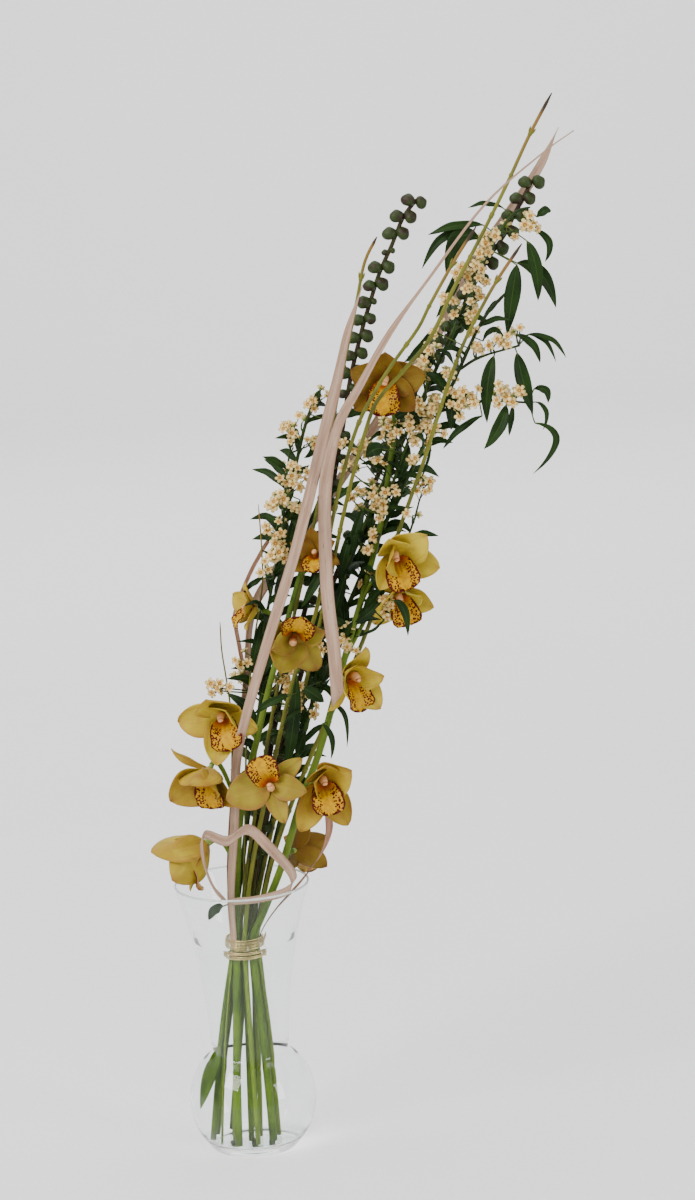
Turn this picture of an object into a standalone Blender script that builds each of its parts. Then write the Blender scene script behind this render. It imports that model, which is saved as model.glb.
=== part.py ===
"""Cymbidium orchid bouquet, tied with wire and standing in a clear glass vase.

Metres, +Z up. The origin is the middle of the vase's foot, on the surface that it stands on.
+X runs to the right of the front view and -Y faces the viewer.
"""
import math
import random

import bmesh
import bpy
import numpy as np
from mathutils import Matrix, Vector

# Vase
BULB_RADIUS = 0.065
BULB_HEIGHT = 0.049
FOOT_RADIUS = 0.042
NECK_HEIGHT = 0.100
GLASS_WALL = 0.0022
GLASS_FLOOR = 0.010
VASE_SIDES = 22
FUNNEL = ((0.112, 0.0398), (0.153, 0.0433), (0.199, 0.0500), (0.238, 0.0572), (0.277, 0.0691))
RIM_BEAD = 0.0008

# Water
WATER_TOP = 0.220
CLEARANCE = 0.0003
WATER_HOLE_NECK = 0.0226
WATER_HOLE_FLOOR = 0.0345

# Tie
TIE_HEIGHT = 0.210
TIE_TURNS = 7
TIE_WIRE = 0.0014
TIE_INNER = 0.0202
TIE_SIDES = 12

# Stems in the tie: ten places on an outer ring and five on an inner one, four of them used
OUTER_RING = 0.0126
INNER_RING = 0.0056
FAN_OUT = 2.15
FAN_TWIST = math.radians(24.0)
TIE_REACH = 0.009

# Blooms
SEPAL = dict(length=0.042, width=0.0200, cup=0.32, start=-0.0045)
PETAL = dict(length=0.040, width=0.0210, cup=0.36, start=0.0050)
LEAST_BEND = 0.01
STRIP_POINT = 0.12
LIP_LENGTH = 0.027
LIP_WIDTH = 0.023
TEPAL_THICKNESS = 0.0011
TEPAL_ROOT = 0.0016
TEPAL_ROWS = 3
SMALL_BLOOM = 0.86
COLUMN_RADIUS = 0.0042
COLUMN_FRONT = 0.013
COLUMN_BACK = 0.008
PEDICEL_RADIUS = 0.0019

# Small repeats
FLORET_RADIUS = 0.0062
POD_RADIUS = 0.0070
STALK = 0.0007
FLORET_NOTCH = 0.52
FLORET_DISH = 0.0008
FLORET_STALK = (0.009, 0.017)
FLORET_STEP = 0.046
FLORET_LOWEST = 0.44
FLORETS_IN_CLUSTER = 2
FLORET_TRIES = 8
POD_STEP = 0.0135
POD_STEP_BELOW = 0.150
POD_CLOSE_RUN = 0.130
POD_LOWEST = 0.330
POD_TRIES = 6
POD_SUNK = 0.80
LEAF_THICKNESS = 0.0009
LEAF_ROWS = 4
LEAF_STALK = 0.0009
SHOOT_RADIUS = 0.0013
LEAF_STEP = 0.095
LEAF_LOWEST = 0.36
LEAF_TRIES = 10
LEAF_LENGTH = (0.034, 0.052)
LEAF_WIDTH = (0.008, 0.011)
TWIG_JOINT_STEP = 0.040
TWIG_BUD_RUN = 0.060
BUD_LENGTH = 0.008
GOLDEN_ANGLE = math.radians(137.5)
CLEAR_OF_OTHERS = 0.0028
FINE = 0.001
ROOM_STEP = 0.003
ROOM_STEP_WIDE = 0.005
VASE_KEEP_IN = 0.054
VASE_MARGIN = 0.004

# Dried strips
STRIP_THICKNESS = 0.0008


def clear_scene():
    for item in list(bpy.data.objects):
        bpy.data.objects.remove(item, do_unlink=True)
    for group in list(bpy.data.collections):
        bpy.data.collections.remove(group)


clear_scene()
bouquet = bpy.data.collections.new("cymbidium_bouquet")
bpy.context.scene.collection.children.link(bouquet)
workbench = bpy.data.collections.new("pieces_to_fuse")
bpy.context.scene.collection.children.link(workbench)


def material(name, colour, roughness, metallic=0.0, alpha=1.0):
    finish = bpy.data.materials.new(name)
    finish.use_nodes = True
    shader = finish.node_tree.nodes["Principled BSDF"]
    shader.inputs["Base Color"].default_value = (*colour, 1.0)
    shader.inputs["Roughness"].default_value = roughness
    shader.inputs["Metallic"].default_value = metallic
    shader.inputs["Alpha"].default_value = alpha
    return finish


def link_mesh(name, bm, group):
    mesh = bpy.data.meshes.new(name)
    bm.to_mesh(mesh)
    bm.free()
    item = bpy.data.objects.new(name, mesh)
    group.objects.link(item)
    return item


def evaluated_mesh(item):
    graph = bpy.context.evaluated_depsgraph_get()
    return bpy.data.meshes.new_from_object(item.evaluated_get(graph))


def finish_node(item, finish, smooth=True):
    item.data.materials.clear()
    item.data.materials.append(finish)
    if smooth:
        item.data.shade_smooth()
        item.data.set_sharp_from_angle(angle=math.radians(40))
    return item


def fuse(name, body, pieces, finish):
    """Join the pieces to the body in one closed solid, and remove the pieces."""
    group = bpy.data.collections.new(name + "_pieces")
    workbench.children.link(group)
    for piece in pieces:
        workbench.objects.unlink(piece)
        group.objects.link(piece)
    if pieces:
        union = body.modifiers.new("union", "BOOLEAN")
        union.operation = "UNION"
        union.operand_type = "COLLECTION"
        union.collection = group
        union.solver = "MANIFOLD"
    mesh = evaluated_mesh(body)
    mesh.name = name
    node = bpy.data.objects.new(name, mesh)
    bouquet.objects.link(node)
    for piece in list(group.objects) + [body]:
        bpy.data.objects.remove(piece, do_unlink=True)
    bpy.data.collections.remove(group)
    return finish_node(node, finish)


def smooth_path(points, cuts=2):
    """Points of a smooth curve through the given points, with cuts spans between each pair."""
    knots = [Vector(p) for p in points]
    ends = [knots[0] * 2 - knots[1]] + knots + [knots[-1] * 2 - knots[-2]]
    path = []
    for i in range(1, len(ends) - 2):
        a, b, c, d = ends[i - 1:i + 3]
        for k in range(cuts):
            t = k / cuts
            path.append(0.5 * (2 * b + (c - a) * t + (2 * a - 5 * b + 4 * c - d) * t * t
                               + (3 * b - a - 3 * c + d) * t ** 3))
    path.append(knots[-1])
    return path


def tube(name, path, radii, group, resolution=1):
    """A closed round rod along the path, whose radius is given at each point."""
    curve = bpy.data.curves.new(name, "CURVE")
    curve.dimensions = "3D"
    curve.bevel_depth = 0.001
    curve.bevel_resolution = resolution
    curve.use_fill_caps = True
    spline = curve.splines.new("POLY")
    spline.points.add(len(path) - 1)
    for knot, place, radius in zip(spline.points, path, radii):
        knot.co = (*place, 1.0)
        knot.radius = radius / 0.001
    guide = bpy.data.objects.new(name, curve)
    group.objects.link(guide)
    mesh = evaluated_mesh(guide)
    mesh.name = name
    bm = bmesh.new()
    bm.from_mesh(mesh)
    bmesh.ops.remove_doubles(bm, verts=bm.verts, dist=0.00001)
    bmesh.ops.recalc_face_normals(bm, faces=bm.faces)
    bpy.data.objects.remove(guide, do_unlink=True)
    return link_mesh(name, bm, group)


def frame_at(place, facing, up):
    """A matrix whose Z looks along facing and whose Y is as near to up as it can be."""
    z = Vector(facing).normalized()
    x = Vector(up).cross(z).normalized()
    y = z.cross(x)
    return Matrix.Translation(Vector(place)) @ Matrix((x, y, z)).transposed().to_4x4()


def blade(name, matrix, shape, rows, thickness, group):
    """A thin leaf-like solid: shape(t, s) is the place at t along it and s across it."""
    bm = bmesh.new()
    bmesh.ops.create_grid(bm, x_segments=2, y_segments=rows, size=1.0)
    for vert in bm.verts:
        vert.co = shape(0.5 + 0.5 * vert.co.y, vert.co.x)
    bmesh.ops.remove_doubles(bm, verts=bm.verts, dist=0.0001)
    bmesh.ops.triangulate(bm, faces=bm.faces)
    bmesh.ops.recalc_face_normals(bm, faces=bm.faces)
    bmesh.ops.solidify(bm, geom=bm.faces[:], thickness=thickness)
    bmesh.ops.recalc_face_normals(bm, faces=bm.faces)
    bmesh.ops.transform(bm, matrix=matrix, verts=bm.verts)
    return link_mesh(name, bm, group)


# Vase and water

def bulb_radius(height, wall=0.0):
    """Radius of the round bulb at a height, measured to the outside less the wall."""
    reach = BULB_RADIUS - wall
    return math.sqrt(max(reach ** 2 - (height - BULB_HEIGHT) ** 2, 0.0))


def turned(name, profile, sides, group, open_edge=None):
    """Turn a closed profile of (radius, height) pairs; open_edge is the edge on the axis."""
    bm = bmesh.new()
    verts = [bm.verts.new((radius, 0.0, height)) for radius, height in profile]
    for i, vert in enumerate(verts):
        if i != open_edge:
            bm.edges.new((vert, verts[(i + 1) % len(verts)]))
    item = link_mesh(name, bm, group)
    screw = item.modifiers.new("turn", "SCREW")
    screw.angle = math.tau
    screw.steps = sides
    screw.render_steps = sides
    screw.use_merge_vertices = True
    screw.merge_threshold = 0.00001
    return item


def outer_profile():
    """The vase's outside from the rim down to the foot."""
    funnel = [(radius, height) for height, radius in reversed(FUNNEL)]
    bulb = []
    for angle in (35, 20, 0, -20, -38):
        height = BULB_HEIGHT + BULB_RADIUS * math.sin(math.radians(angle))
        bulb.append((bulb_radius(height), height))
    waist = [(0.0392, NECK_HEIGHT)]
    return funnel + waist + bulb + [(FOOT_RADIUS + 0.003, 0.0022), (FOOT_RADIUS, 0.0)]


def inner_profile(gap=0.0, top=None):
    """The vase's inside from its floor up, moved inwards by a gap."""
    wall = GLASS_WALL + gap
    floor = GLASS_FLOOR + gap
    points = [(bulb_radius(floor, wall) - 0.004, floor)]
    for angle in (-28, -10, 10, 28, 42):
        height = BULB_HEIGHT + (BULB_RADIUS - wall) * math.sin(math.radians(angle))
        points.append((bulb_radius(height, wall), height))
    points.append((0.0392 - wall, NECK_HEIGHT))
    for height, radius in FUNNEL:
        if top is not None and height > top:
            break
        points.append((radius - wall, height))
    return points


def water_edge(height):
    """Radius of the water's surface where it meets the glass at a height."""
    for (low, small), (high, large) in zip(FUNNEL, FUNNEL[1:]):
        if low <= height <= high:
            return small + (large - small) * (height - low) / (high - low)
    return FUNNEL[-1][1]


def make_vase():
    glass = material("clear_glass", (0.86, 0.92, 0.90), 0.03, alpha=0.25)
    top, top_radius = FUNNEL[-1]
    outside = [(top_radius - GLASS_WALL / 2, top + RIM_BEAD)] + outer_profile()
    profile = outside + [(0.0, 0.0), (0.0, GLASS_FLOOR)] + inner_profile()
    item = turned("glass_vase", profile, VASE_SIDES, bouquet, open_edge=len(outside))
    finish_node(item, glass, smooth=False)


def make_water():
    water = material("water", (0.80, 0.90, 0.88), 0.02, alpha=0.2)
    edge = inner_profile(CLEARANCE, WATER_TOP)
    edge.append((water_edge(WATER_TOP) - GLASS_WALL - CLEARANCE, WATER_TOP))
    hole = [(WATER_HOLE_FLOOR, GLASS_FLOOR + CLEARANCE), (WATER_HOLE_NECK, TIE_HEIGHT - 0.013),
            (WATER_HOLE_NECK, WATER_TOP)]
    item = turned("water", list(reversed(edge)) + hole, VASE_SIDES, bouquet)
    finish_node(item, water, smooth=False)


def make_tie():
    """Turns of wire wound close together, with two ends twisted and standing out at the side."""
    wire = material("gold_wire", (0.60, 0.50, 0.30), 0.35, metallic=0.9)
    half = TIE_TURNS * TIE_WIRE / 2
    outer = []
    for i in range(2 * TIE_TURNS + 1):
        swell = 0.55 if i % 2 == 0 else 1.0
        outer.append((TIE_INNER + TIE_WIRE * swell, TIE_HEIGHT + half - i * TIE_WIRE / 2))
    inner = [(TIE_INNER, TIE_HEIGHT - half), (TIE_INNER, TIE_HEIGHT + half)]
    ring = turned("tie_ring", outer + inner, TIE_SIDES, workbench)
    bm = bmesh.new()
    bm.from_mesh(evaluated_mesh(ring))
    bmesh.ops.recalc_face_normals(bm, faces=bm.faces)
    bpy.data.objects.remove(ring, do_unlink=True)
    body = link_mesh("tie_ring", bm, workbench)
    side = TIE_INNER + TIE_WIRE * 0.5
    ends = []
    for swing in (-1, 1):
        route = [(side, swing * 0.0018, TIE_HEIGHT + half * 0.7),
                 (side, swing * 0.0010, TIE_HEIGHT + half + 0.003),
                 (side + 0.002, -swing * 0.0014, TIE_HEIGHT + half + 0.009)]
        ends.append(tube("tie_end", route, [TIE_WIRE / 2] * 3, workbench))
    fuse("tie_wire", body, ends, wire)


# Stems: each stands in the vase, passes the tie at its own place and follows its route above it

OUTER = [math.radians(-90 + 36 * k) for k in range(10)]
INNER = [math.radians(-90 + 72 * k) for k in range(5)]

STEMS = {
    "cymbidium_right": dict(
        ring=OUTER_RING, angle=OUTER[1], radius=0.0038, tip=0.0026, route=(
            (0.021, -0.018, 0.250), (0.043, -0.021, 0.300), (0.065, -0.025, 0.365),
            (0.085, -0.026, 0.413), (0.101, -0.023, 0.461), (0.118, -0.016, 0.515),
            (0.138, -0.010, 0.574), (0.156, -0.006, 0.633), (0.168, -0.004, 0.690),
            (0.176, -0.004, 0.735))),
    "cymbidium_left": dict(
        ring=OUTER_RING, angle=OUTER[9], radius=0.0038, tip=0.0026, route=(
            (-0.005, -0.015, 0.273), (0.003, -0.019, 0.349), (0.015, -0.022, 0.399),
            (0.024, -0.022, 0.429), (0.038, -0.018, 0.479), (0.054, -0.014, 0.528),
            (0.070, -0.012, 0.577), (0.080, -0.012, 0.606))),
    "fulgens_right": dict(
        ring=OUTER_RING, angle=OUTER[4], radius=0.0029, tip=0.0016, route=(
            (0.026, 0.010, 0.309), (0.072, 0.014, 0.461), (0.108, 0.016, 0.561),
            (0.154, 0.016, 0.660), (0.204, 0.013, 0.758), (0.243, 0.008, 0.836),
            (0.276, 0.002, 0.903), (0.299, -0.002, 0.936), (0.317, -0.004, 0.943))),
    "fulgens_side": dict(
        ring=OUTER_RING, angle=OUTER[3], radius=0.0029, tip=0.0016, route=(
            (0.034, 0.002, 0.310), (0.082, 0.002, 0.462), (0.124, 0.002, 0.562),
            (0.174, 0.000, 0.661), (0.212, -0.004, 0.730), (0.241, -0.008, 0.788),
            (0.266, -0.010, 0.836), (0.292, -0.012, 0.864))),
    "fulgens_left": dict(
        ring=OUTER_RING, angle=OUTER[7], radius=0.0028, tip=0.0016, route=(
            (0.004, 0.010, 0.309), (0.029, 0.010, 0.463), (0.050, 0.010, 0.564),
            (0.068, 0.008, 0.664), (0.080, 0.006, 0.714), (0.091, 0.004, 0.749),
            (0.104, 0.004, 0.772))),
    "pods_left": dict(
        ring=OUTER_RING, angle=OUTER[6], radius=0.0030, tip=0.0020, route=(
            (0.013, 0.018, 0.307), (0.048, 0.026, 0.459), (0.081, 0.028, 0.560),
            (0.108, 0.028, 0.661), (0.124, 0.025, 0.731), (0.134, 0.022, 0.781),
            (0.148, 0.019, 0.830), (0.158, 0.017, 0.859), (0.168, 0.015, 0.886),
            (0.181, 0.013, 0.912), (0.193, 0.011, 0.938), (0.2085, 0.010, 0.957))),
    "pods_right": dict(
        ring=OUTER_RING, angle=OUTER[5], radius=0.0030, tip=0.0020, route=(
            (0.020, 0.022, 0.306), (0.062, 0.032, 0.458), (0.100, 0.038, 0.558),
            (0.146, 0.040, 0.657), (0.194, 0.038, 0.756), (0.236, 0.033, 0.824),
            (0.272, 0.025, 0.888), (0.292, 0.021, 0.916), (0.305, 0.019, 0.940),
            (0.323, 0.016, 0.971))),
    "pods_low": dict(
        ring=INNER_RING, angle=INNER[0], radius=0.0028, tip=0.0020, route=(
            (0.010, -0.005, 0.257), (0.020, -0.004, 0.309), (0.036, -0.002, 0.381),
            (0.052, 0.000, 0.442), (0.068, 0.002, 0.503))),
    "twig_tall": dict(
        ring=INNER_RING, angle=INNER[1], radius=0.0022, tip=0.0017, route=(
            (0.028, -0.001, 0.310), (0.070, -0.004, 0.463), (0.099, -0.014, 0.566),
            (0.125, -0.036, 0.669), (0.147, -0.055, 0.740), (0.1600, -0.0575, 0.7680),
            (0.1870, -0.0560, 0.7960), (0.2130, -0.0480, 0.8240), (0.2359, -0.0380, 0.8667),
            (0.2650, -0.0290, 0.9157), (0.2940, -0.0210, 0.9670), (0.3170, -0.0140, 1.0110),
            (0.3410, -0.0100, 1.0515))),
    "twig_left": dict(
        ring=INNER_RING, angle=INNER[4], radius=0.0020, tip=0.0016, route=(
            (0.010, -0.004, 0.312), (0.044, -0.004, 0.466), (0.072, 0.000, 0.568),
            (0.098, -0.010, 0.668), (0.109, -0.018, 0.717), (0.120, -0.022, 0.766),
            (0.132, -0.022, 0.814), (0.144, -0.020, 0.862), (0.153, -0.020, 0.898),
            (0.166, -0.020, 0.922))),
    "twig_fork": dict(
        ring=OUTER_RING, angle=OUTER[0], radius=0.0024, tip=0.0016, route=(
            (0.015, -0.022, 0.311), (0.056, -0.024, 0.465), (0.072, -0.026, 0.510),
            (0.090, -0.032, 0.560), (0.099, -0.050, 0.600), (0.107, -0.060, 0.640),
            (0.120, -0.064, 0.690), (0.138, -0.066, 0.743), (0.159, -0.067, 0.780),
            (0.177, -0.066, 0.805), (0.201, -0.062, 0.835), (0.214, -0.060, 0.858),
            (0.239, -0.056, 0.898), (0.261, -0.054, 0.929))),
    "twig_right": dict(
        ring=OUTER_RING, angle=OUTER[2], radius=0.0024, tip=0.0016, route=(
            (0.036, -0.010, 0.312), (0.080, -0.010, 0.414), (0.108, -0.008, 0.466),
            (0.143, -0.012, 0.543), (0.169, -0.018, 0.617), (0.187, -0.024, 0.664),
            (0.202, -0.029, 0.702), (0.216, -0.034, 0.742), (0.230, -0.036, 0.780),
            (0.2455, -0.0380, 0.8170), (0.2655, -0.0390, 0.8530), (0.2820, -0.0400, 0.8790),
            (0.3050, -0.0400, 0.9100))),
    "twig_thin_back": dict(
        ring=INNER_RING, angle=INNER[3], radius=0.0012, tip=0.0007, route=(
            (0.005, 0.003, 0.310), (0.011, 0.001, 0.403), (0.022, 0.001, 0.505),
            (0.036, 0.000, 0.576), (0.038, 0.002, 0.617), (0.037, 0.004, 0.663))),
    "twig_thin_left": dict(
        ring=OUTER_RING, angle=OUTER[8], radius=0.0012, tip=0.0007, route=(
            (-0.006, 0.000, 0.309), (-0.004, 0.000, 0.383), (-0.001, 0.000, 0.446),
            (-0.004, -0.002, 0.488), (-0.007, -0.004, 0.519), (-0.007, -0.006, 0.548))),
}


def stem_path(stem, cuts=1):
    """The stem from its cut foot in the vase, through the tie and up to its tip."""
    ring, angle = stem["ring"], stem["angle"]
    fan = ring * FAN_OUT
    place = Vector((ring * math.cos(angle), ring * math.sin(angle), 0.0))
    low = place + Vector((0.0, 0.0, TIE_HEIGHT - TIE_REACH))
    high = place + Vector((0.0, 0.0, TIE_HEIGHT + TIE_REACH))
    foot = Vector((fan * math.cos(angle + FAN_TWIST), fan * math.sin(angle + FAN_TWIST), 0.0))
    lean = (foot - place).length / (low.z - GLASS_FLOOR)
    foot.z = GLASS_FLOOR + CLEARANCE + stem["radius"] * lean
    return [foot, low] + smooth_path((high,) + stem["route"], cuts)


def stem_radii(stem, path):
    """Full size up to the tie, then tapering evenly to the tip."""
    radii = []
    for place in path:
        rise = max(place.z - TIE_HEIGHT, 0.0) / (path[-1].z - TIE_HEIGHT)
        radii.append(stem["radius"] + (stem["tip"] - stem["radius"]) * rise ** 1.5)
    return radii


# Blooms: middle, facing, direction of the upper sepal, size, openness, stem and height of the pedicel

BLOOMS = {
    "bloom_top": dict(
        place=(0.1675, -0.027, 0.7836), facing=(-0.05, -1.0, -0.15), up=(0.1, 0.0, 1.0),
        size=1.0, stem="cymbidium_right", leave=0.735, tepals=(
            (90, 38, 18, 1.05, 1.40), (220, 26, 10, 1.0, 1.20), (320, 26, 10, 1.0, 1.20),
            (160, 30, 12, 1.0, 1.30), (16, 14, 8, 1.0, 1.30))),
    "bloom_right": dict(
        place=(0.1700, -0.048, 0.6136), facing=(0.05, -1.0, -0.16), up=(-0.30, 0.0, 0.94),
        size=1.0, stem="cymbidium_right", leave=0.555, tepals=(
            (88, 44, 25, 1.0, 1.25), (226, 34, 0, 0.9, 1.0), (326, 14, 8, 1.05, 1.30),
            (164, 66, 25, 0.9, 1.1), (24, 24, 16, 1.05, 1.40))),
    "bloom_right_low": dict(
        place=(0.1715, -0.022, 0.5716), facing=(0.15, -0.85, -0.50), up=(-0.3, 0.0, 0.94),
        size=0.9, stem="cymbidium_right", leave=0.500, tepals=(
            (90, 20, -10, 0.9, 1.0), (222, 10, -6, 1.15, 1.1), (318, 26, 12, 1.0, 1.25),
            (158, 40, 10, 0.9, 1.0), (14, 44, 20, 0.85, 1.1))),
    "bloom_front": dict(
        place=(0.0670, -0.056, 0.5413), facing=(-0.02, -0.95, -0.26), up=(-0.30, 0.0, -0.95),
        size=1.0, stem="cymbidium_left", leave=0.528, tepals=(
            (88, 32, 42, 1.05, 1.50), (214, 34, 10, 0.9, 1.1), (326, 40, 10, 0.9, 1.1),
            (136, 10, 0, 1.05, 1.1), (30, 48, 20, 0.8, 1.0))),
    "bloom_side": dict(
        place=(0.1169, -0.052, 0.4951), facing=(0.66, -0.74, -0.10), up=(0.12, 0.0, 0.99),
        size=1.0, stem="cymbidium_right", leave=0.461, tepals=(
            (92, 36, 12, 1.0, 1.1), (268, -10, -20, 1.0, 0.55), (308, 42, 10, 1.1, 1.35),
            (150, 40, 10, 0.8, 1.0), (24, 56, 16, 0.9, 1.0))),
    "bloom_left": dict(
        place=(-0.0055, -0.054, 0.4622), facing=(-0.18, -0.97, -0.06), up=(-0.33, 0.0, 0.94),
        size=1.0, stem="cymbidium_left", leave=0.429, tepals=(
            (84, 42, 40, 1.28, 1.75), (242, 26, 16, 1.18, 1.25), (318, 12, -8, 0.80, 1.0),
            (162, 18, -12, 1.13, 1.25), (34, 54, 30, 0.92, 1.20))),
    "bloom_left_low": dict(
        place=(-0.0247, -0.040, 0.4040), facing=(-0.34, -0.72, -0.60), up=(-0.25, -0.10, 0.96),
        size=1.0, stem="cymbidium_left", leave=0.352, tepals=(
            (78, 48, 34, 1.10, 1.75), (146, -4, -4, 1.02, 0.50), (300, 34, 10, 1.05, 1.20),
            (186, 30, 26, 1.18, 1.70), (346, 46, 24, 0.86, 1.50))),
    "bloom_upturned": dict(
        place=(0.0369, -0.060, 0.3916), facing=(-0.08, -0.93, 0.26), up=(0.35, 0.0, -0.94),
        size=0.95, stem="cymbidium_left", leave=0.392, tepals=(
            (88, 35, -30, 1.05, 0.85), (198, 16, 0, 1.0, 0.8), (322, 4, -6, 0.8, 0.9),
            (146, 24, 10, 1.05, 1.0), (352, 14, 4, 1.18, 1.45))),
    "bloom_right_foot": dict(
        place=(0.0864, -0.056, 0.3923), facing=(0.22, -0.95, 0.03), up=(-0.08, 0.0, 1.0),
        size=1.0, stem="cymbidium_right", leave=0.348, tepals=(
            (96, 46, 36, 0.95, 1.40), (242, 10, 2, 1.25, 1.15), (290, 18, 8, 1.20, 1.20),
            (160, 62, 20, 0.8, 1.1), (22, 44, 12, 0.95, 1.45))),
    "bloom_left_foot": dict(
        place=(-0.0335, -0.014, 0.3225), facing=(-0.82, -0.20, -0.46), up=(-0.35, 0.0, 0.94),
        size=1.22, stem="cymbidium_left", leave=0.296, tepals=(
            (66, 40, 44, 1.22, 1.55), (352, 44, 42, 1.14, 1.60), (290, 42, 34, 0.98, 0.85),
            (150, 50, 20, 1.0, 1.3), (222, 46, 20, 0.9, 1.1))),
    "bloom_behind": dict(
        place=(0.0562, 0.030, 0.3005), facing=(0.45, 0.80, -0.10), up=(0.0, 0.1, 1.0),
        size=0.85, stem="cymbidium_right", leave=0.290, tepals=(
            (90, 30, 8, 1.0, 1.1), (214, 30, 8, 1.0, 1.1), (326, 30, 8, 1.0, 1.1),
            (158, 40, 8, 1.0, 1.1), (22, 40, 8, 1.0, 1.1))),
    "bloom_left_back": dict(
        place=(0.0280, -0.012, 0.5600), facing=(-0.85, -0.25, 0.20), up=(0.2, 0.0, 1.0),
        size=0.70, stem="cymbidium_left", leave=0.540, tepals=(
            (90, 34, 14, 1.0, 1.15), (214, 32, 10, 1.0, 1.15), (326, 28, 8, 1.0, 1.15),
            (158, 36, 14, 1.0, 1.2), (22, 34, 8, 1.0, 1.2))),
    "bloom_hidden": dict(
        place=(0.0920, -0.022, 0.6110), facing=(-0.15, -0.80, 0.45), up=(0.0, 0.4, 1.0),
        size=0.72, stem="cymbidium_left", leave=0.590, tepals=(
            (90, 36, 14, 1.0, 1.0), (214, 30, 8, 1.0, 1.0), (326, 30, 8, 1.0, 1.0),
            (158, 40, 14, 1.0, 1.1), (22, 40, 14, 1.0, 1.1))),
}
TEPALS = ("sepal", "sepal", "sepal", "petal", "petal")


def tepal_shape(angle, rise, bend, length, width, cup, start):
    """A pointed petal: it leaves at an angle, rises towards the front and bends on its way."""
    out = Vector((math.cos(angle), math.sin(angle), 0.0))
    side = Vector((-math.sin(angle), math.cos(angle), 0.0))
    bend = bend if abs(bend) > LEAST_BEND else LEAST_BEND

    def shape(t, s):
        half = 0.5 * width * math.sin(math.pi * t ** 0.90) ** 0.62 if 0.0 < t < 1.0 else 0.0
        turn = rise + bend * t
        reach = length * (math.sin(turn) - math.sin(rise)) / bend
        lift = length * (math.cos(rise) - math.cos(turn)) / bend
        hollow = cup * half * s * s
        return (out * (TEPAL_ROOT + reach - hollow * math.sin(turn)) + side * (half * s)
                + Vector((0.0, 0.0, start + lift + hollow * math.cos(turn))))
    return shape


def lip_shape(length, width):
    """The lip leaves below the column, comes forwards and rolls down at its broad end."""
    def shape(t, s):
        half = 0.5 * width * (0.35 + 0.65 * math.sin(math.pi * min(0.12 + 0.62 * t, 1.0)))
        half *= 1.0 if t > 0 else 0.4
        down = -0.0012 - length * (0.30 * t + 0.42 * t * t) + 0.55 * half * s * s * (1.0 - t)
        front = 0.0020 + length * (0.78 * t - 0.42 * t * t) + 0.25 * half * s * s
        return Vector((half * s, down, front))
    return shape


def bloom_pieces(spec):
    """The column and, sunk into it, three sepals, two petals and the lip."""
    size = spec["size"]
    rows = TEPAL_ROWS if size > SMALL_BLOOM else TEPAL_ROWS - 1
    matrix = frame_at(spec["place"], spec["facing"], spec["up"])
    bm = bmesh.new()
    depth = COLUMN_FRONT * size + COLUMN_BACK
    lie = Matrix.Translation((0.0, 0.0, (COLUMN_FRONT * size - COLUMN_BACK) / 2))
    bmesh.ops.create_cone(bm, cap_ends=True, cap_tris=False, segments=5, depth=depth,
                          radius1=PEDICEL_RADIUS * 1.3, radius2=COLUMN_RADIUS, matrix=matrix @ lie)
    body = link_mesh("column", bm, workbench)
    pieces = []
    for kind, (angle, rise, bend, long, wide) in zip(TEPALS, spec["tepals"]):
        form = SEPAL if kind == "sepal" else PETAL
        shape = tepal_shape(math.radians(angle), math.radians(rise), math.radians(bend),
                            form["length"] * long * size, form["width"] * wide * size,
                            form["cup"], form["start"])
        pieces.append(blade(kind, matrix, shape, rows, TEPAL_THICKNESS, workbench))
    lip = lip_shape(LIP_LENGTH * size, LIP_WIDTH * size)
    pieces.append(blade("lip", matrix, lip, 3, TEPAL_THICKNESS, workbench))
    return body, pieces


def at_height(path, height):
    """The point of a rising path at a height."""
    for low, high in zip(path, path[1:]):
        if low.z <= height <= high.z:
            return low.lerp(high, (height - low.z) / (high.z - low.z))
    return path[-1].copy()


def pedicel_route(path, spec, count=3):
    """From the stem out and round to the back of the bloom."""
    facing = Vector(spec["facing"]).normalized()
    start = at_height(path, spec["leave"])
    end = Vector(spec["place"]) - facing * (COLUMN_BACK + CLEARANCE)
    reach = (end - start).length
    first = start + (end - start).normalized() * 0.25 * reach + Vector((0.0, 0.0, 0.12 * reach))
    neck = end - facing * min(0.006, 0.25 * reach)
    last = neck - facing * 0.30 * reach
    route = []
    for i in range(count + 1):
        t = i / count
        route.append(start * (1 - t) ** 3 + first * 3 * t * (1 - t) ** 2
                     + last * 3 * t * t * (1 - t) + neck * t ** 3)
    return route + [end]


# Room: points of everything placed so far, so that leaves, pods and florets stay clear of it

class Room:
    def __init__(self):
        self.points = np.zeros((0, 3))
        self.radii = np.zeros(0)
        self.owners = np.zeros(0, dtype=int)
        self.names = []

    def add(self, owner, points, radius):
        if owner not in self.names:
            self.names.append(owner)
        points = np.array([tuple(p) for p in points])
        self.points = np.vstack((self.points, points))
        self.radii = np.append(self.radii, np.full(len(points), radius))
        self.owners = np.append(self.owners, np.full(len(points), self.names.index(owner)))

    def is_clear(self, owner, points, margin):
        """Whether the points keep the margin to all that belongs to other owners."""
        points = np.array([tuple(p) for p in points])
        reach = margin + self.radii.max()
        others = self.owners != (self.names.index(owner) if owner in self.names else -1)
        others &= (self.points > points.min(axis=0) - reach).all(axis=1)
        others &= (self.points < points.max(axis=0) + reach).all(axis=1)
        apart = points[:, None, :] - self.points[None, others, :]
        gap = np.sqrt((apart ** 2).sum(axis=2)) - self.radii[None, others]
        in_vase = points[:, 2] < FUNNEL[-1][0] + VASE_MARGIN
        wide = np.hypot(points[:, 0], points[:, 1]) > VASE_KEEP_IN
        return bool((gap > margin).all()) and not bool((in_vase & wide).any())


def along(path, step):
    """Points at even steps along a path."""
    points = []
    for start, end in zip(path, path[1:]):
        count = max(int((end - start).length / step), 1)
        points += [start.lerp(end, k / count) for k in range(count)]
    return points + [path[-1]]


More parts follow.
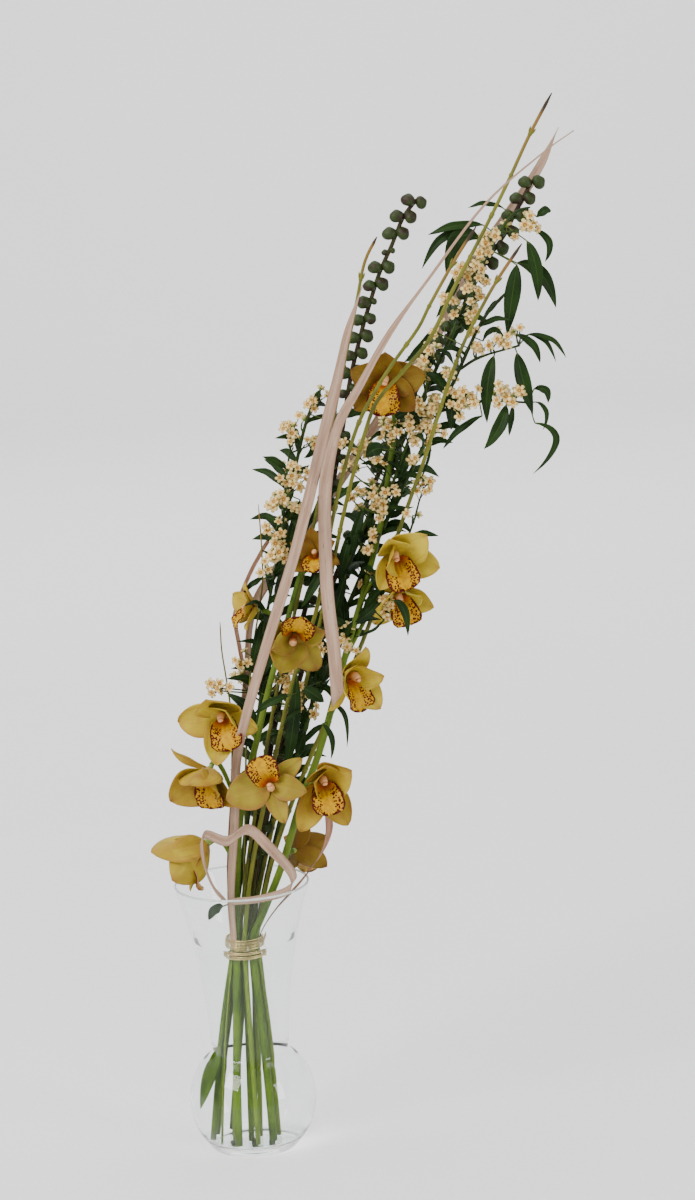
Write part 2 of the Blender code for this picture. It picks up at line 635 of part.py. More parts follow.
def at_steps(path, step):
    """Points one step apart along the whole of a path, the first a step from its start."""
    points = []
    reach = step
    for start, end in zip(path, path[1:]):
        length = (end - start).length
        while reach <= length:
            points.append(start.lerp(end, reach / length))
            reach += step
        reach -= length
    return points


def surface_points(item, step):
    """Points spread over an object's faces."""
    points = []
    for face in item.data.polygons:
        corners = [item.data.vertices[i].co for i in face.vertices]
        for k in range(1, len(corners) - 1):
            a, b, c = corners[0], corners[k], corners[k + 1]
            count = max(int(max((b - a).length, (c - a).length, (c - b).length) / step), 1)
            for i in range(count + 1):
                for j in range(count + 1 - i):
                    points.append(a + (b - a) * (i / count) + (c - a) * (j / count))
    return points


# Pieces that grow on the stems

def leaf_piece(root, middle, tip, width, facing):
    """A willow-shaped leaf along the curve from its root to its tip."""
    root, middle, tip = Vector(root), Vector(middle), Vector(tip)
    facing = Vector(facing).normalized()

    def shape(t, s):
        place = root * (1 - t) ** 2 + middle * 2 * t * (1 - t) + tip * t * t
        course = (middle - root) * (1 - t) + (tip - middle) * t
        across = course.cross(facing).normalized()
        half = 0.5 * width * math.sin(math.pi * t ** 0.85) ** 0.8 if 0.0 < t < 1.0 else 0.0
        half = LEAF_STALK if t == 0.0 else half
        keel = across.cross(course).normalized() * (0.35 * half * abs(s) if t > 0.0 else 0.0)
        return place + across * (half * s) + keel
    return blade("leaf", Matrix.Identity(4), shape, LEAF_ROWS, LEAF_THICKNESS, workbench)


def round_point(radius, angle):
    """A point on a circle in the XY plane."""
    return Vector((radius * math.cos(angle), radius * math.sin(angle), 0.0))


def floret_piece(root, middle, facing):
    """A five-pointed floret, lofted from its three-sided stalk to its star-shaped rim."""
    root, middle, facing = Vector(root), Vector(middle), Vector(facing).normalized()
    bm = bmesh.new()
    stalk_way = (middle - root).normalized()
    neck = middle - facing * FLORET_RADIUS * 0.75
    base = frame_at(root, stalk_way, stalk_way.orthogonal())
    collar = frame_at(neck, facing, stalk_way.orthogonal())
    rim = frame_at(middle, facing, stalk_way.orthogonal())
    turn_by = math.tau / 3
    low = [bm.verts.new(base @ round_point(STALK, turn_by * i)) for i in range(3)]
    high = [bm.verts.new(collar @ round_point(STALK, turn_by * i)) for i in range(3)]
    star = []
    for i in range(10):
        reach = FLORET_RADIUS * (1.0 if i % 2 == 0 else FLORET_NOTCH)
        star.append(bm.verts.new(rim @ round_point(reach, math.tau * i / 10)))
    heart = bm.verts.new(rim @ Vector((0.0, 0.0, -FLORET_DISH)))
    bm.faces.new(low)
    for i in range(3):
        bm.faces.new((low[i], high[i], high[(i + 1) % 3], low[(i + 1) % 3]))
    for i in range(10):
        bm.faces.new((star[i], star[(i + 1) % 10], heart))
    steps = (0, 3, 7, 10)
    for i in range(3):
        for k in range(steps[i], steps[i + 1]):
            bm.faces.new((high[i], star[k], star[(k + 1) % 10]))
        bm.faces.new((high[i], star[steps[i + 1] % 10], high[(i + 1) % 3]))
    bmesh.ops.recalc_face_normals(bm, faces=bm.faces)
    return link_mesh("floret", bm, workbench)


def pod_piece(place, size):
    """A round three-lobed seed pod."""
    bm = bmesh.new()
    bmesh.ops.create_icosphere(bm, subdivisions=1, radius=size)
    bmesh.ops.transform(bm, matrix=Matrix.Translation(place), verts=bm.verts)
    return link_mesh("pod", bm, workbench)


def bud_piece(place, way, length):
    """A slim pointed bud standing off a twig."""
    bm = bmesh.new()
    matrix = frame_at(Vector(place) + Vector(way) * length * 0.5, way, Vector(way).orthogonal())
    bmesh.ops.create_cone(bm, cap_ends=True, cap_tris=False, segments=3, depth=length,
                          radius1=length * 0.22, radius2=length * 0.08, matrix=matrix)
    return link_mesh("bud", bm, workbench)


def outward(place, spine, draw):
    """A direction away from the bundle's middle, swung by a draw."""
    middle = at_height(spine, place.z)
    away = Vector((place.x - middle.x, place.y - middle.y, 0.0))
    if away.length < 0.004:
        away = Vector((0.0, -1.0, 0.0))
    return Matrix.Rotation(draw, 3, "Z") @ away.normalized()


def grow_pods(name, path, room, draws):
    """Pods spiral down from the tip, close together at first and further apart below."""
    pieces = []
    reach, turn_to = 0.0, 0.0
    for k, place in enumerate(along(list(reversed(path)), FINE)):
        if place.z < POD_LOWEST or k * FINE < reach:
            continue
        close = reach < POD_CLOSE_RUN and name != "pods_low"
        reach += POD_STEP if close else POD_STEP_BELOW
        turn_to += GOLDEN_ANGLE
        size = POD_RADIUS * draws.uniform(0.9, 1.08) * (1.0 if close else 0.85)
        for attempt in range(POD_TRIES):
            way = round_point(1.0, turn_to + attempt) + Vector((0.0, 0.0, 0.1))
            middle = place + way * size * POD_SUNK
            if room.is_clear(name, [middle], size + CLEAR_OF_OTHERS * 0.5):
                pieces.append(pod_piece(middle, size))
                room.add(name, [middle], size)
                break
    return pieces


def grow_florets(name, path, spine, room, draws):
    """Clusters of florets at even steps, each where there is room, looking outwards."""
    pieces = []
    for place in at_steps(path, FLORET_STEP):
        if place.z < FLORET_LOWEST:
            continue
        for k in range(FLORETS_IN_CLUSTER):
            for attempt in range(FLORET_TRIES):
                way = outward(place, spine, draws.uniform(-1.5, 1.5))
                way = (way + Vector((0.0, -0.5, draws.uniform(-0.1, 0.9)))).normalized()
                middle = place + way * draws.uniform(*FLORET_STALK)
                facing = (way + Vector((0.0, -0.7, 0.2))).normalized()
                piece = floret_piece(place, middle, facing)
                points = surface_points(piece, ROOM_STEP)
                if room.is_clear(name, points, CLEAR_OF_OTHERS) and room.is_clear(
                        "", [middle], FLORET_RADIUS * 0.9):
                    pieces.append(piece)
                    room.add(name, points, 0.0)
                    break
                bpy.data.objects.remove(piece, do_unlink=True)
    return pieces


def try_leaf(name, root, middle, tip, width, facing, room):
    """The leaf, or nothing where it would touch another piece."""
    piece = leaf_piece(root, middle, tip, width, facing)
    points = surface_points(piece, ROOM_STEP)
    if room.is_clear(name, points, CLEAR_OF_OTHERS):
        room.add(name, points, LEAF_THICKNESS)
        return [piece]
    bpy.data.objects.remove(piece, do_unlink=True)
    return []


def grow_leaves(name, path, spine, room, draws):
    """Leaves at even steps, turning about the stem and drooping at their tips."""
    pieces = []
    turn_to = 0.0
    for place in at_steps(path, LEAF_STEP):
        if place.z < LEAF_LOWEST:
            continue
        turn_to += GOLDEN_ANGLE
        length, width = draws.uniform(*LEAF_LENGTH), draws.uniform(*LEAF_WIDTH)
        for attempt in range(LEAF_TRIES):
            way = outward(place, spine, math.sin(turn_to + attempt * 0.8) * 1.9)
            way = (way + Vector((0.0, 0.0, 0.35))).normalized()
            middle = place + way * length * 0.55
            tip = place + way * length * 0.85 - Vector((0.0, 0.0, length * 0.35))
            grown = try_leaf(name, place, middle, tip, width, (0.2, -1.0, 0.5), room)
            if grown:
                pieces += grown
                break
    return pieces


def twig_buds(path):
    """Pairs of buds on opposite sides at the twig's upper joints."""
    pieces = []
    spots = [p for p in along(path, TWIG_JOINT_STEP) if p.z > path[-1].z - TWIG_BUD_RUN]
    for k, place in enumerate(spots[:-1]):
        course = (spots[k + 1] - place).normalized()
        side = Matrix.Rotation(k * math.pi / 2, 3, course) @ course.orthogonal().normalized()
        for swing in (-1, 1):
            way = (course * 1.6 + side * swing).normalized()
            pieces.append(bud_piece(place, way, BUD_LENGTH))
    return pieces


def make_strip(name, spec, finish):
    """A flat dried strip: route points with, at each, the direction across the strip."""
    places = [Vector(place) for place, across in spec["route"]]
    acrosses = [Vector(across).normalized() for place, across in spec["route"]]
    last = len(places) - 1

    def shape(t, s):
        index = round(t * last)
        half = 0.5 * spec["width"]
        half *= min(1.0, STRIP_POINT + spec["taper"] * t, STRIP_POINT + spec["tail"] * (1.0 - t))
        return places[index] + acrosses[index] * (half * s)
    bm = bmesh.new()
    bmesh.ops.create_grid(bm, x_segments=1, y_segments=last, size=1.0)
    for vert in bm.verts:
        vert.co = shape(0.5 + 0.5 * vert.co.y, vert.co.x)
    bmesh.ops.triangulate(bm, faces=bm.faces)
    bmesh.ops.recalc_face_normals(bm, faces=bm.faces)
    bmesh.ops.solidify(bm, geom=bm.faces[:], thickness=STRIP_THICKNESS)
    bmesh.ops.recalc_face_normals(bm, faces=bm.faces)
    return finish_node(link_mesh(name, bm, bouquet), finish, smooth=False)


# Side shoots of the arching stem, and the large leaves with the stem that each grows from

SIDE_SHOOTS = (
    ((0.241, -0.008, 0.788), (0.262, -0.012, 0.800), (0.301, -0.016, 0.810)),
    ((0.222, -0.005, 0.748), (0.262, -0.016, 0.757), (0.309, -0.022, 0.754)),
)
LARGE_LEAVES = (
    ("fulgens_right", (0.299, -0.002, 0.936), (0.301, -0.014, 0.862), (0.298, -0.016, 0.816), 0.017),
    ("fulgens_right", (0.314, -0.004, 0.942), (0.331, -0.010, 0.885), (0.328, -0.010, 0.850), 0.016),
    ("fulgens_right", (0.317, -0.004, 0.943), (0.345, 0.000, 0.885), (0.346, 0.002, 0.845), 0.014),
    ("fulgens_right", (0.317, -0.004, 0.943), (0.338, -0.006, 0.935), (0.345, -0.008, 0.912), 0.009),
    ("fulgens_right", (0.317, -0.004, 0.943), (0.332, -0.006, 0.955), (0.345, -0.004, 0.953), 0.009),
    ("fulgens_right", (0.285, 0.000, 0.915), (0.242, -0.006, 0.936), (0.213, -0.008, 0.921), 0.014),
    ("fulgens_right", (0.268, 0.003, 0.886), (0.236, 0.002, 0.922), (0.209, 0.002, 0.894), 0.014),
    ("fulgens_right", (0.262, 0.004, 0.876), (0.246, 0.010, 0.900), (0.228, 0.010, 0.872), 0.014),
    ("fulgens_side", (0.262, -0.012, 0.800), (0.268, -0.026, 0.768), (0.264, -0.022, 0.741), 0.016),
    ("fulgens_side", (0.298, -0.016, 0.809), (0.311, -0.026, 0.776), (0.311, -0.026, 0.745), 0.016),
    ("fulgens_side", (0.290, -0.020, 0.756), (0.276, -0.032, 0.739), (0.262, -0.030, 0.710), 0.014),
    ("fulgens_side", (0.308, -0.022, 0.754), (0.333, -0.026, 0.717), (0.311, -0.028, 0.683), 0.010),
    ("fulgens_side", (0.301, -0.016, 0.810), (0.320, -0.018, 0.812), (0.327, -0.018, 0.788), 0.009),
    ("fulgens_side", (0.301, -0.016, 0.810), (0.333, -0.022, 0.830), (0.348, -0.022, 0.802), 0.009),
    ("fulgens_side", (0.235, -0.006, 0.753), (0.238, -0.020, 0.727), (0.216, -0.018, 0.705), 0.010),
    ("cymbidium_right", (0.092, -0.025, 0.438), (0.103, -0.044, 0.436), (0.099, -0.040, 0.409), 0.007),
    ("cymbidium_right", (0.099, -0.023, 0.456), (0.120, -0.040, 0.462), (0.117, -0.034, 0.420), 0.006),
    ("pods_low", (0.066, 0.001, 0.495), (0.060, -0.034, 0.450), (0.054, -0.034, 0.396), 0.011),
    ("fulgens_side", (0.080, 0.002, 0.455), (0.052, -0.036, 0.478), (0.024, -0.050, 0.474), 0.009),
    ("cymbidium_right", (0.131, -0.012, 0.555), (0.173, -0.052, 0.548), (0.181, -0.054, 0.522), 0.010),
    ("fulgens_left", (0.062, 0.008, 0.630), (0.066, -0.030, 0.606), (0.060, -0.030, 0.570), 0.012),
)

# Strips: route points with the direction across the strip at each

STRIPS = {
    "strip_long": dict(width=0.0110, taper=6.0, tail=3.2, route=(
            ((0.150, -0.030, 0.877), (1.0, 0.0, -0.3)), ((0.133, -0.040, 0.832), (1.0, 0.0, -0.3)),
            ((0.119, -0.052, 0.780), (1.0, 0.1, -0.2)), ((0.103, -0.066, 0.728), (1.0, 0.2, -0.3)),
            ((0.086, -0.082, 0.670), (1.0, 0.1, -0.3)), ((0.070, -0.093, 0.620), (1.0, 0.0, -0.3)),
            ((0.040, -0.098, 0.537), (1.0, -0.1, -0.3)), ((0.016, -0.090, 0.465), (1.0, -0.1, -0.2)),
            ((0.0030, -0.049, 0.410), (1.0, 0.0, -0.1)), ((-0.002, -0.037, 0.350), (1.0, -0.1, 0.0)),
            ((-0.010, -0.027, 0.275), (1.0, -0.5, 0.0)), ((-0.0107, -0.0147, 0.225), (0.81, -0.59, 0.0)),
            ((-0.0107, -0.0147, 0.200), (0.81, -0.59, 0.0)))),
    "strip_cut": dict(width=0.0128, taper=1.4, tail=9.0, route=(
            ((0.359, -0.034, 1.015), (0.6, 0.3, -0.8)), ((0.326, -0.044, 0.994), (0.6, 0.3, -0.8)),
            ((0.270, -0.060, 0.950), (0.7, 0.2, -0.7)), ((0.213, -0.076, 0.883), (0.8, 0.1, -0.5)),
            ((0.174, -0.086, 0.835), (0.8, 0.0, -0.5)), ((0.143, -0.088, 0.786), (0.9, 0.0, -0.5)),
            ((0.122, -0.086, 0.752), (0.9, 0.0, -0.4)), ((0.110, -0.082, 0.715), (1.0, 0.0, -0.2)),
            ((0.104, -0.0755, 0.680), (1.0, 0.0, 0.0)), ((0.102, -0.0640, 0.632), (1.0, 0.0, 0.0)),
            ((0.102, -0.084, 0.580), (1.0, 0.1, 0.0)), ((0.106, -0.092, 0.525), (1.0, 0.1, 0.1)),
            ((0.107, -0.088, 0.480), (1.0, 0.1, 0.2)))),
    "strip_pointed": dict(width=0.0120, taper=6.0, tail=2.4, route=(
            ((0.350, 0.034, 1.018), (0.7, 0.2, -0.6)), ((0.332, 0.034, 0.984), (0.8, 0.2, -0.5)),
            ((0.305, 0.036, 0.944), (0.8, 0.2, -0.6)), ((0.265, 0.046, 0.890), (0.8, 0.2, -0.5)),
            ((0.222, 0.054, 0.819), (0.8, 0.1, -0.5)), ((0.174, 0.058, 0.753), (0.8, 0.1, -0.5)),
            ((0.122, 0.056, 0.680), (0.8, 0.1, -0.5)), ((0.077, 0.044, 0.622), (0.8, 0.1, -0.6)),
            ((0.041, 0.034, 0.579), (0.7, 0.1, -0.7)), ((0.0265, 0.030, 0.555), (0.9, 0.2, -0.4)),
            ((0.0205, 0.028, 0.532), (1.0, 0.2, 0.0)), ((0.0170, 0.027, 0.500), (1.0, 0.2, 0.1)),
            ((0.0100, 0.028, 0.450), (1.0, 0.3, 0.2)), ((-0.002, 0.026, 0.380), (1.0, 0.5, 0.0)),
            ((-0.012, 0.020, 0.290), (0.9, 0.7, 0.0)), ((-0.0123, 0.0123, 0.225), (0.71, 0.71, 0.0)),
            ((-0.0123, 0.0123, 0.200), (0.71, 0.71, 0.0)))),
    "strip_wrap": dict(width=0.0088, taper=4.0, tail=2.0, route=(
            ((-0.016, -0.034, 0.268), (0.9, -0.3, 0.4)), ((-0.0275, -0.042, 0.2875), (0.5, -0.9, 0.2)),
            ((-0.0345, -0.050, 0.316), (0.5, -0.9, 0.0)), ((-0.0325, -0.056, 0.343), (0.2, -0.2, 1.0)),
            ((-0.0100, -0.050, 0.3340), (0.1, 0.1, 1.0)), ((0.0105, -0.046, 0.3440), (0.3, 0.1, 1.0)),
            ((0.0290, -0.058, 0.3310), (0.7, 0.2, 1.0)), ((0.0530, -0.045, 0.2960), (0.9, 0.1, 0.6)),
            ((0.0480, -0.042, 0.2790), (0.1, 0.3, 1.0)), ((0.0200, -0.045, 0.2720), (0.0, 0.0, 1.0)),
            ((-0.0100, -0.0300, 0.2660), (0.0, 0.0, 1.0)))),
    "strip_right": dict(width=0.0085, taper=3.0, tail=2.0, route=(
            ((0.088, 0.000, 0.352), (1.0, 0.5, -0.1)), ((0.092, -0.004, 0.332), (1.0, 0.5, 0.2)),
            ((0.084, -0.008, 0.308), (0.8, 0.7, 0.6)), ((0.062, -0.010, 0.280), (0.5, 0.9, 0.7)),
            ((0.034, -0.006, 0.250), (0.3, 1.0, 0.3)), ((0.0167, 0.0030, 0.222), (0.06, 1.0, 0.0)),
            ((0.0167, 0.0030, 0.200), (0.06, 1.0, 0.0)))),
}


def bundle_spine():
    """The bundle's middle line, which leaves and florets look away from."""
    return smooth_path(((0.0, 0.0, 0.0), (0.0, 0.0, 0.210), (0.020, 0.0, 0.309), (0.058, 0.0, 0.461),
                        (0.095, 0.002, 0.561), (0.140, 0.0, 0.660), (0.190, 0.0, 0.758),
                        (0.238, 0.0, 0.857), (0.300, 0.0, 0.950), (0.345, 0.0, 1.060)), 3)


def build():
    """Every solid in turn: glass, water and tie, blooms, stems and strips, then what grows on them."""
    make_vase()
    make_water()
    make_tie()
    green = material("leaf_green", (0.16, 0.27, 0.06), 0.5)
    twig_green = material("twig_green", (0.30, 0.29, 0.07), 0.55)
    pod_dark = material("pod_dark", (0.10, 0.08, 0.04), 0.55)
    leaf_dark = material("leaf_dark", (0.05, 0.11, 0.03), 0.45)
    yellow = material("tepal_yellow", (0.62, 0.47, 0.13), 0.5)
    straw = material("dried_strip", (0.66, 0.50, 0.42), 0.7)
    finishes = {"cymbidium": green, "fulgens": leaf_dark, "pods": pod_dark, "twig": twig_green}
    spine = bundle_spine()
    paths = {name: stem_path(stem) for name, stem in STEMS.items()}
    room = Room()
    for name, spec in BLOOMS.items():
        body, pieces = bloom_pieces(spec)
        bloom = fuse(name, body, pieces, yellow)
        room.add(name, surface_points(bloom, ROOM_STEP_WIDE), 0.0)
    for name, spec in STRIPS.items():
        strip = make_strip(name, spec, straw)
        room.add(name, surface_points(strip, ROOM_STEP_WIDE), 0.0)
    for name, path in paths.items():
        room.add(name, along(path, ROOM_STEP), STEMS[name]["radius"])
    for spec in BLOOMS.values():
        route = pedicel_route(paths[spec["stem"]], spec)
        room.add(spec["stem"], along(route, ROOM_STEP), PEDICEL_RADIUS)
    grown = {name: [] for name in STEMS}
    shoots = [smooth_path(shoot) for shoot in SIDE_SHOOTS]
    course_points = {name: along(path, FINE) for name, path in paths.items()}
    for route in shoots:
        course_points["fulgens_side"] += along(route, FINE)
    for name, root, middle, tip, width in LARGE_LEAVES:
        base = min(course_points[name], key=lambda point: (point - Vector(root)).length)
        grown[name] += try_leaf(name, base, middle, tip, width, (0.1, -1.0, 0.2), room)
    for k, name in enumerate(STEMS):
        draws = random.Random(40 + k)
        path = paths[name]
        if name.startswith("pods"):
            grown[name] += grow_pods(name, path, room, draws)
        elif name.startswith("fulgens"):
            if name == "fulgens_side":
                for route in shoots:
                    grown[name].append(tube("shoot", route, [SHOOT_RADIUS] * len(route), workbench))
                    grown[name] += grow_florets(name, route, spine, room, draws)
            grown[name] += grow_florets(name, path, spine, room, draws)
            grown[name] += grow_leaves(name, path, spine, room, draws)
        elif name.startswith("twig") and "thin" not in name:
            grown[name] += twig_buds(path)
        elif name.startswith("cymbidium"):
            for spec in BLOOMS.values():
                if spec["stem"] == name:
                    route = pedicel_route(path, spec)
                    radii = [PEDICEL_RADIUS * (1.0 + 0.06 * i) for i in range(len(route))]
                    grown[name].append(tube("pedicel", route, radii, workbench))
    for name, path in paths.items():
        body = tube(name + "_rod", path, stem_radii(STEMS[name], path), workbench)
        fuse(name, body, grown[name], finishes[name.split("_")[0]])
    bpy.data.collections.remove(workbench)


build()
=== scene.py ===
"""The looks of the cymbidium bouquet: glass, water, wire, stems, blooms, florets, pods, leaves and strips."""

import math
import random

import bpy
from mathutils import Matrix, Vector


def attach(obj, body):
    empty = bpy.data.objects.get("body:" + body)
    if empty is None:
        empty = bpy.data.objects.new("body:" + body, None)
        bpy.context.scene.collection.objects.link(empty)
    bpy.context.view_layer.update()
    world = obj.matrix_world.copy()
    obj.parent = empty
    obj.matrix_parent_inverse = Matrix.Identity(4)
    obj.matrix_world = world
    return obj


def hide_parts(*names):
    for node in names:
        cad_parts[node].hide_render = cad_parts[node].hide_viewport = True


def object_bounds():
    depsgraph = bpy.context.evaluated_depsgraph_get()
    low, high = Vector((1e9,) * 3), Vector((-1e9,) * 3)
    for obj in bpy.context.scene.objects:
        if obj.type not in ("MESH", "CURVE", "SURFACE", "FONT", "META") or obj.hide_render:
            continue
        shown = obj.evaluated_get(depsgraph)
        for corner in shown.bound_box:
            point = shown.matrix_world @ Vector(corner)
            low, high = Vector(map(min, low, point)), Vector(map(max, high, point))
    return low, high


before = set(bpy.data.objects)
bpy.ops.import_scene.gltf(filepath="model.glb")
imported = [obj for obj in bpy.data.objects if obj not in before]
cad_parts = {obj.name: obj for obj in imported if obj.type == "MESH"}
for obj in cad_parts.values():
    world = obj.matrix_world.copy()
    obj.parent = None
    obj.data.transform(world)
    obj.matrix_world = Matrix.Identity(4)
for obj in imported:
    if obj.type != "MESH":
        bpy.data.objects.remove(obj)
cad_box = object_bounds()

# Picture and camera, in metres and in the photograph's 695 by 1200 pixels
PICTURE = (695, 1200)
CAMERA_PLACE = Vector((0.121, -2.80, 1.05))
CAMERA_PITCH = math.radians(9.87)
CAMERA_ROLL = math.radians(2.7)
FOCAL_PIXELS = 2847.0
SENSOR_HEIGHT = 36.0
WALL_START = 7.0
WALL_CURVE = 1.8

# Vase, water and tie
BULB_RADIUS = 0.065
BULB_HEIGHT = 0.049
FOOT_RADIUS = 0.042
NECK = (0.0392, 0.100)
GLASS_WALL = 0.0018
GLASS_FLOOR = 0.010
FUNNEL = ((0.0398, 0.112), (0.0433, 0.153), (0.0500, 0.199), (0.0572, 0.238), (0.0685, 0.277))
RIM_BEAD = 0.0007
# Size of the ring that carries the painted highlight along the rim
RIM_HIGHLIGHT_RING = 0.0011
WATER_TOP = 0.220
VASE_SIDES = 96
TIE_HEIGHT = 0.210
TIE_REACH = 0.009
TIE_TURNS = 9
TIE_WIRE = 0.00058
TIE_INNER = 0.0186
TIE_MIDDLE = 0.2118

# Stems in the tie: the radius of each ring, and the degrees from seat to seat
OUTER = (0.0126, 36)
INNER = (0.0056, 72)
FIRST_SEAT = -90
FAN_OUT = 2.40
FAN_TWIST = math.radians(24.0)
PEDICEL_RADIUS = 0.0019
COLUMN_BACK = 0.008

# Small sizes and steps
WELD_REACH = 0.00002
BRANCH_STEP = 0.004
LEAF_STEP = 0.010
JOINT_STEP = 0.044
POD_STEP = 0.001
POD_SIZE = 0.0072
BUD_SIZES = (0.0013, 0.0085)
FLORET_SIZE = 0.0062
CLUSTER_SPREAD = 0.0080
LEAF_PIXEL = 0.00099
FRESH_HEIGHTS = (0.215, 0.300)

# The floor's near end, its length along its curve and half its width
FLOOR_REACH = (-9.0, 22.0, 9.0)

# Where each run of random draws starts
TIE_DRAWS = 7
FLORET_DRAWS = 61
BLOOM_DRAWS = 300
STEM_DRAWS = 500


# Tables, whose places and sizes are written in millimetres

def metres(*points):
    return tuple(Vector([c / 1000 for c in point]) for point in points)


def stem(circle, seat, radius, tip, *route):
    """A stem's ring and seat in the tie, its radius there and at its tip, and its route above the tie."""
    return dict(ring=circle[0], angle=math.radians(FIRST_SEAT + circle[1] * seat), radius=radius / 1000,
                tip=tip / 1000, route=metres(*route))


def bloom(on, leave, skin, size, place, facing, up, *tepals):
    """A bloom's stem, the height where its stalk leaves it, and its colour, size, place and tepals.
    Each tepal has its angle, rise and bend in degrees, and its length and width as shares."""
    return dict(stem=on, leave=leave / 1000, skin=skin, size=size, place=metres(place)[0], facing=facing,
                up=up, tepals=tepals)


def strip(width, form, cut, *route):
    """A strip's width, its share of that width along its length, the slant of its end, and its route:
    each place is followed by the way across the strip there."""
    return dict(width=width / 1000, form=form, cut=cut / 1000, places=metres(*[row[:3] for row in route]),
                across=[Vector(row[3:]).normalized() for row in route])


STEMS = {
    "cymbidium_right": stem(OUTER, 1, 3.8, 2.6, (21, -18, 250), (43, -21, 300), (65, -25, 365),
        (85, -26, 413), (101, -23, 461), (118, -16, 515), (138, -10, 574), (156, -6, 633), (168, -4, 690),
        (176, -4, 735)),
    "cymbidium_left": stem(OUTER, 9, 3.8, 2.6, (-5, -15, 273), (3, -19, 349), (15, -22, 399), (24, -22, 429),
        (38, -18, 479), (54, -14, 528), (70, -12, 577), (80, -12, 606)),
    "fulgens_right": stem(OUTER, 4, 2.9, 1.6, (26, 10, 309), (72, 14, 461), (108, 16, 561), (154, 16, 660),
        (204, 13, 758), (243, 8, 836), (276, 2, 903), (299, -2, 936), (317, -4, 943)),
    "fulgens_side": stem(OUTER, 3, 2.9, 1.6, (34, 2, 310), (82, 2, 462), (124, 2, 562), (174, 0, 661),
        (212, -4, 730), (241, -8, 788), (266, -10, 836), (292, -12, 864)),
    "fulgens_left": stem(OUTER, 7, 2.8, 1.6, (4, 10, 309), (29, 10, 463), (50, 10, 564), (68, 8, 664),
        (80, 6, 714), (91, 4, 749), (104, 4, 772)),
    "pods_left": stem(OUTER, 6, 3, 2, (13, 18, 307), (48, 26, 459), (81, 28, 560), (108, 28, 661),
        (124, 25, 731), (134, 22, 781), (148, 19, 830), (158, 17, 859), (168, 15, 886), (181, 13, 912),
        (193, 11, 938), (208.5, 10, 957)),
    "pods_right": stem(OUTER, 5, 3, 2, (20, 22, 306), (62, 32, 458), (100, 38, 558), (146, 40, 657),
        (194, 38, 756), (236, 33, 824), (272, 25, 888), (292, 21, 916), (305, 19, 940), (323, 16, 971)),
    "pods_low": stem(INNER, 0, 2.8, 2, (10, -5, 257), (20, -4, 309), (36, -2, 381), (52, 0, 442),
        (68, 2, 503)),
    "twig_tall": stem(INNER, 1, 2.2, 1.7, (28, -1, 310), (70, -4, 463), (99, -14, 566), (125, -36, 669),
        (147, -55, 740), (160, -57.5, 768), (187, -56, 796), (213, -48, 824), (235.9, -38, 866.7),
        (265, -29, 915.7), (294, -21, 967), (317, -14, 1011), (341, -10, 1051.5)),
    "twig_left": stem(INNER, 4, 2, 1.6, (10, -4, 312), (44, -4, 466), (72, 0, 568), (98, -10, 668),
        (109, -18, 717), (120, -22, 766), (132, -22, 814), (144, -20, 862), (153, -20, 898),
        (166, -20, 922)),
    "twig_fork": stem(OUTER, 0, 2.4, 1.6, (15, -22, 311), (56, -24, 465), (72, -26, 510), (90, -32, 560),
        (99, -50, 600), (107, -60, 640), (120, -64, 690), (138, -66, 743), (159, -67, 780), (177, -66, 805),
        (201, -62, 835), (214, -60, 858), (239, -56, 898), (261, -54, 929)),
    "twig_right": stem(OUTER, 2, 2.4, 1.6, (36, -10, 312), (80, -10, 414), (108, -8, 466), (143, -12, 543),
        (169, -18, 617), (187, -24, 664), (202, -29, 702), (216, -34, 742), (230, -36, 780),
        (245.5, -38, 817), (265.5, -39, 853), (282, -40, 879), (305, -40, 910)),
    "twig_thin_back": stem(INNER, 3, 1.2, 0.7, (5, 3, 310), (11, 1, 403), (22, 1, 505), (36, 0, 576),
        (38, 2, 617), (37, 4, 663)),
    "twig_thin_left": stem(OUTER, 8, 1.2, 0.7, (-6, 0, 309), (-4, 0, 383), (-1, 0, 446), (-4, -2, 488),
        (-7, -4, 519), (-7, -6, 548)),
}

SIDE_SHOOTS = {
    "fulgens_side": (
        metres((241, -8, 788), (262, -12, 800), (301, -16, 810)),
        metres((222, -5, 748), (262, -16, 757), (309, -22, 754)),
        metres((82, 2, 462), (112, -12, 520), (140, -14, 560), (176, -12, 610), (192, -14, 646))),
    "fulgens_right": (
        metres((108, 16, 561), (140, 4, 620), (166, -6, 668), (188, -10, 720), (208, -14, 764)),
        metres((154, 16, 660), (166, 18, 690), (174, 18, 736), (186, 16, 780))),
    "fulgens_left": (
        metres((29, 10, 463), (30, 2, 510), (44, -4, 570), (60, -6, 640), (66, -8, 688), (74, -8, 730)),
        metres((50, 10, 564), (72, 14, 610), (96, 16, 660), (118, 14, 720))),
}

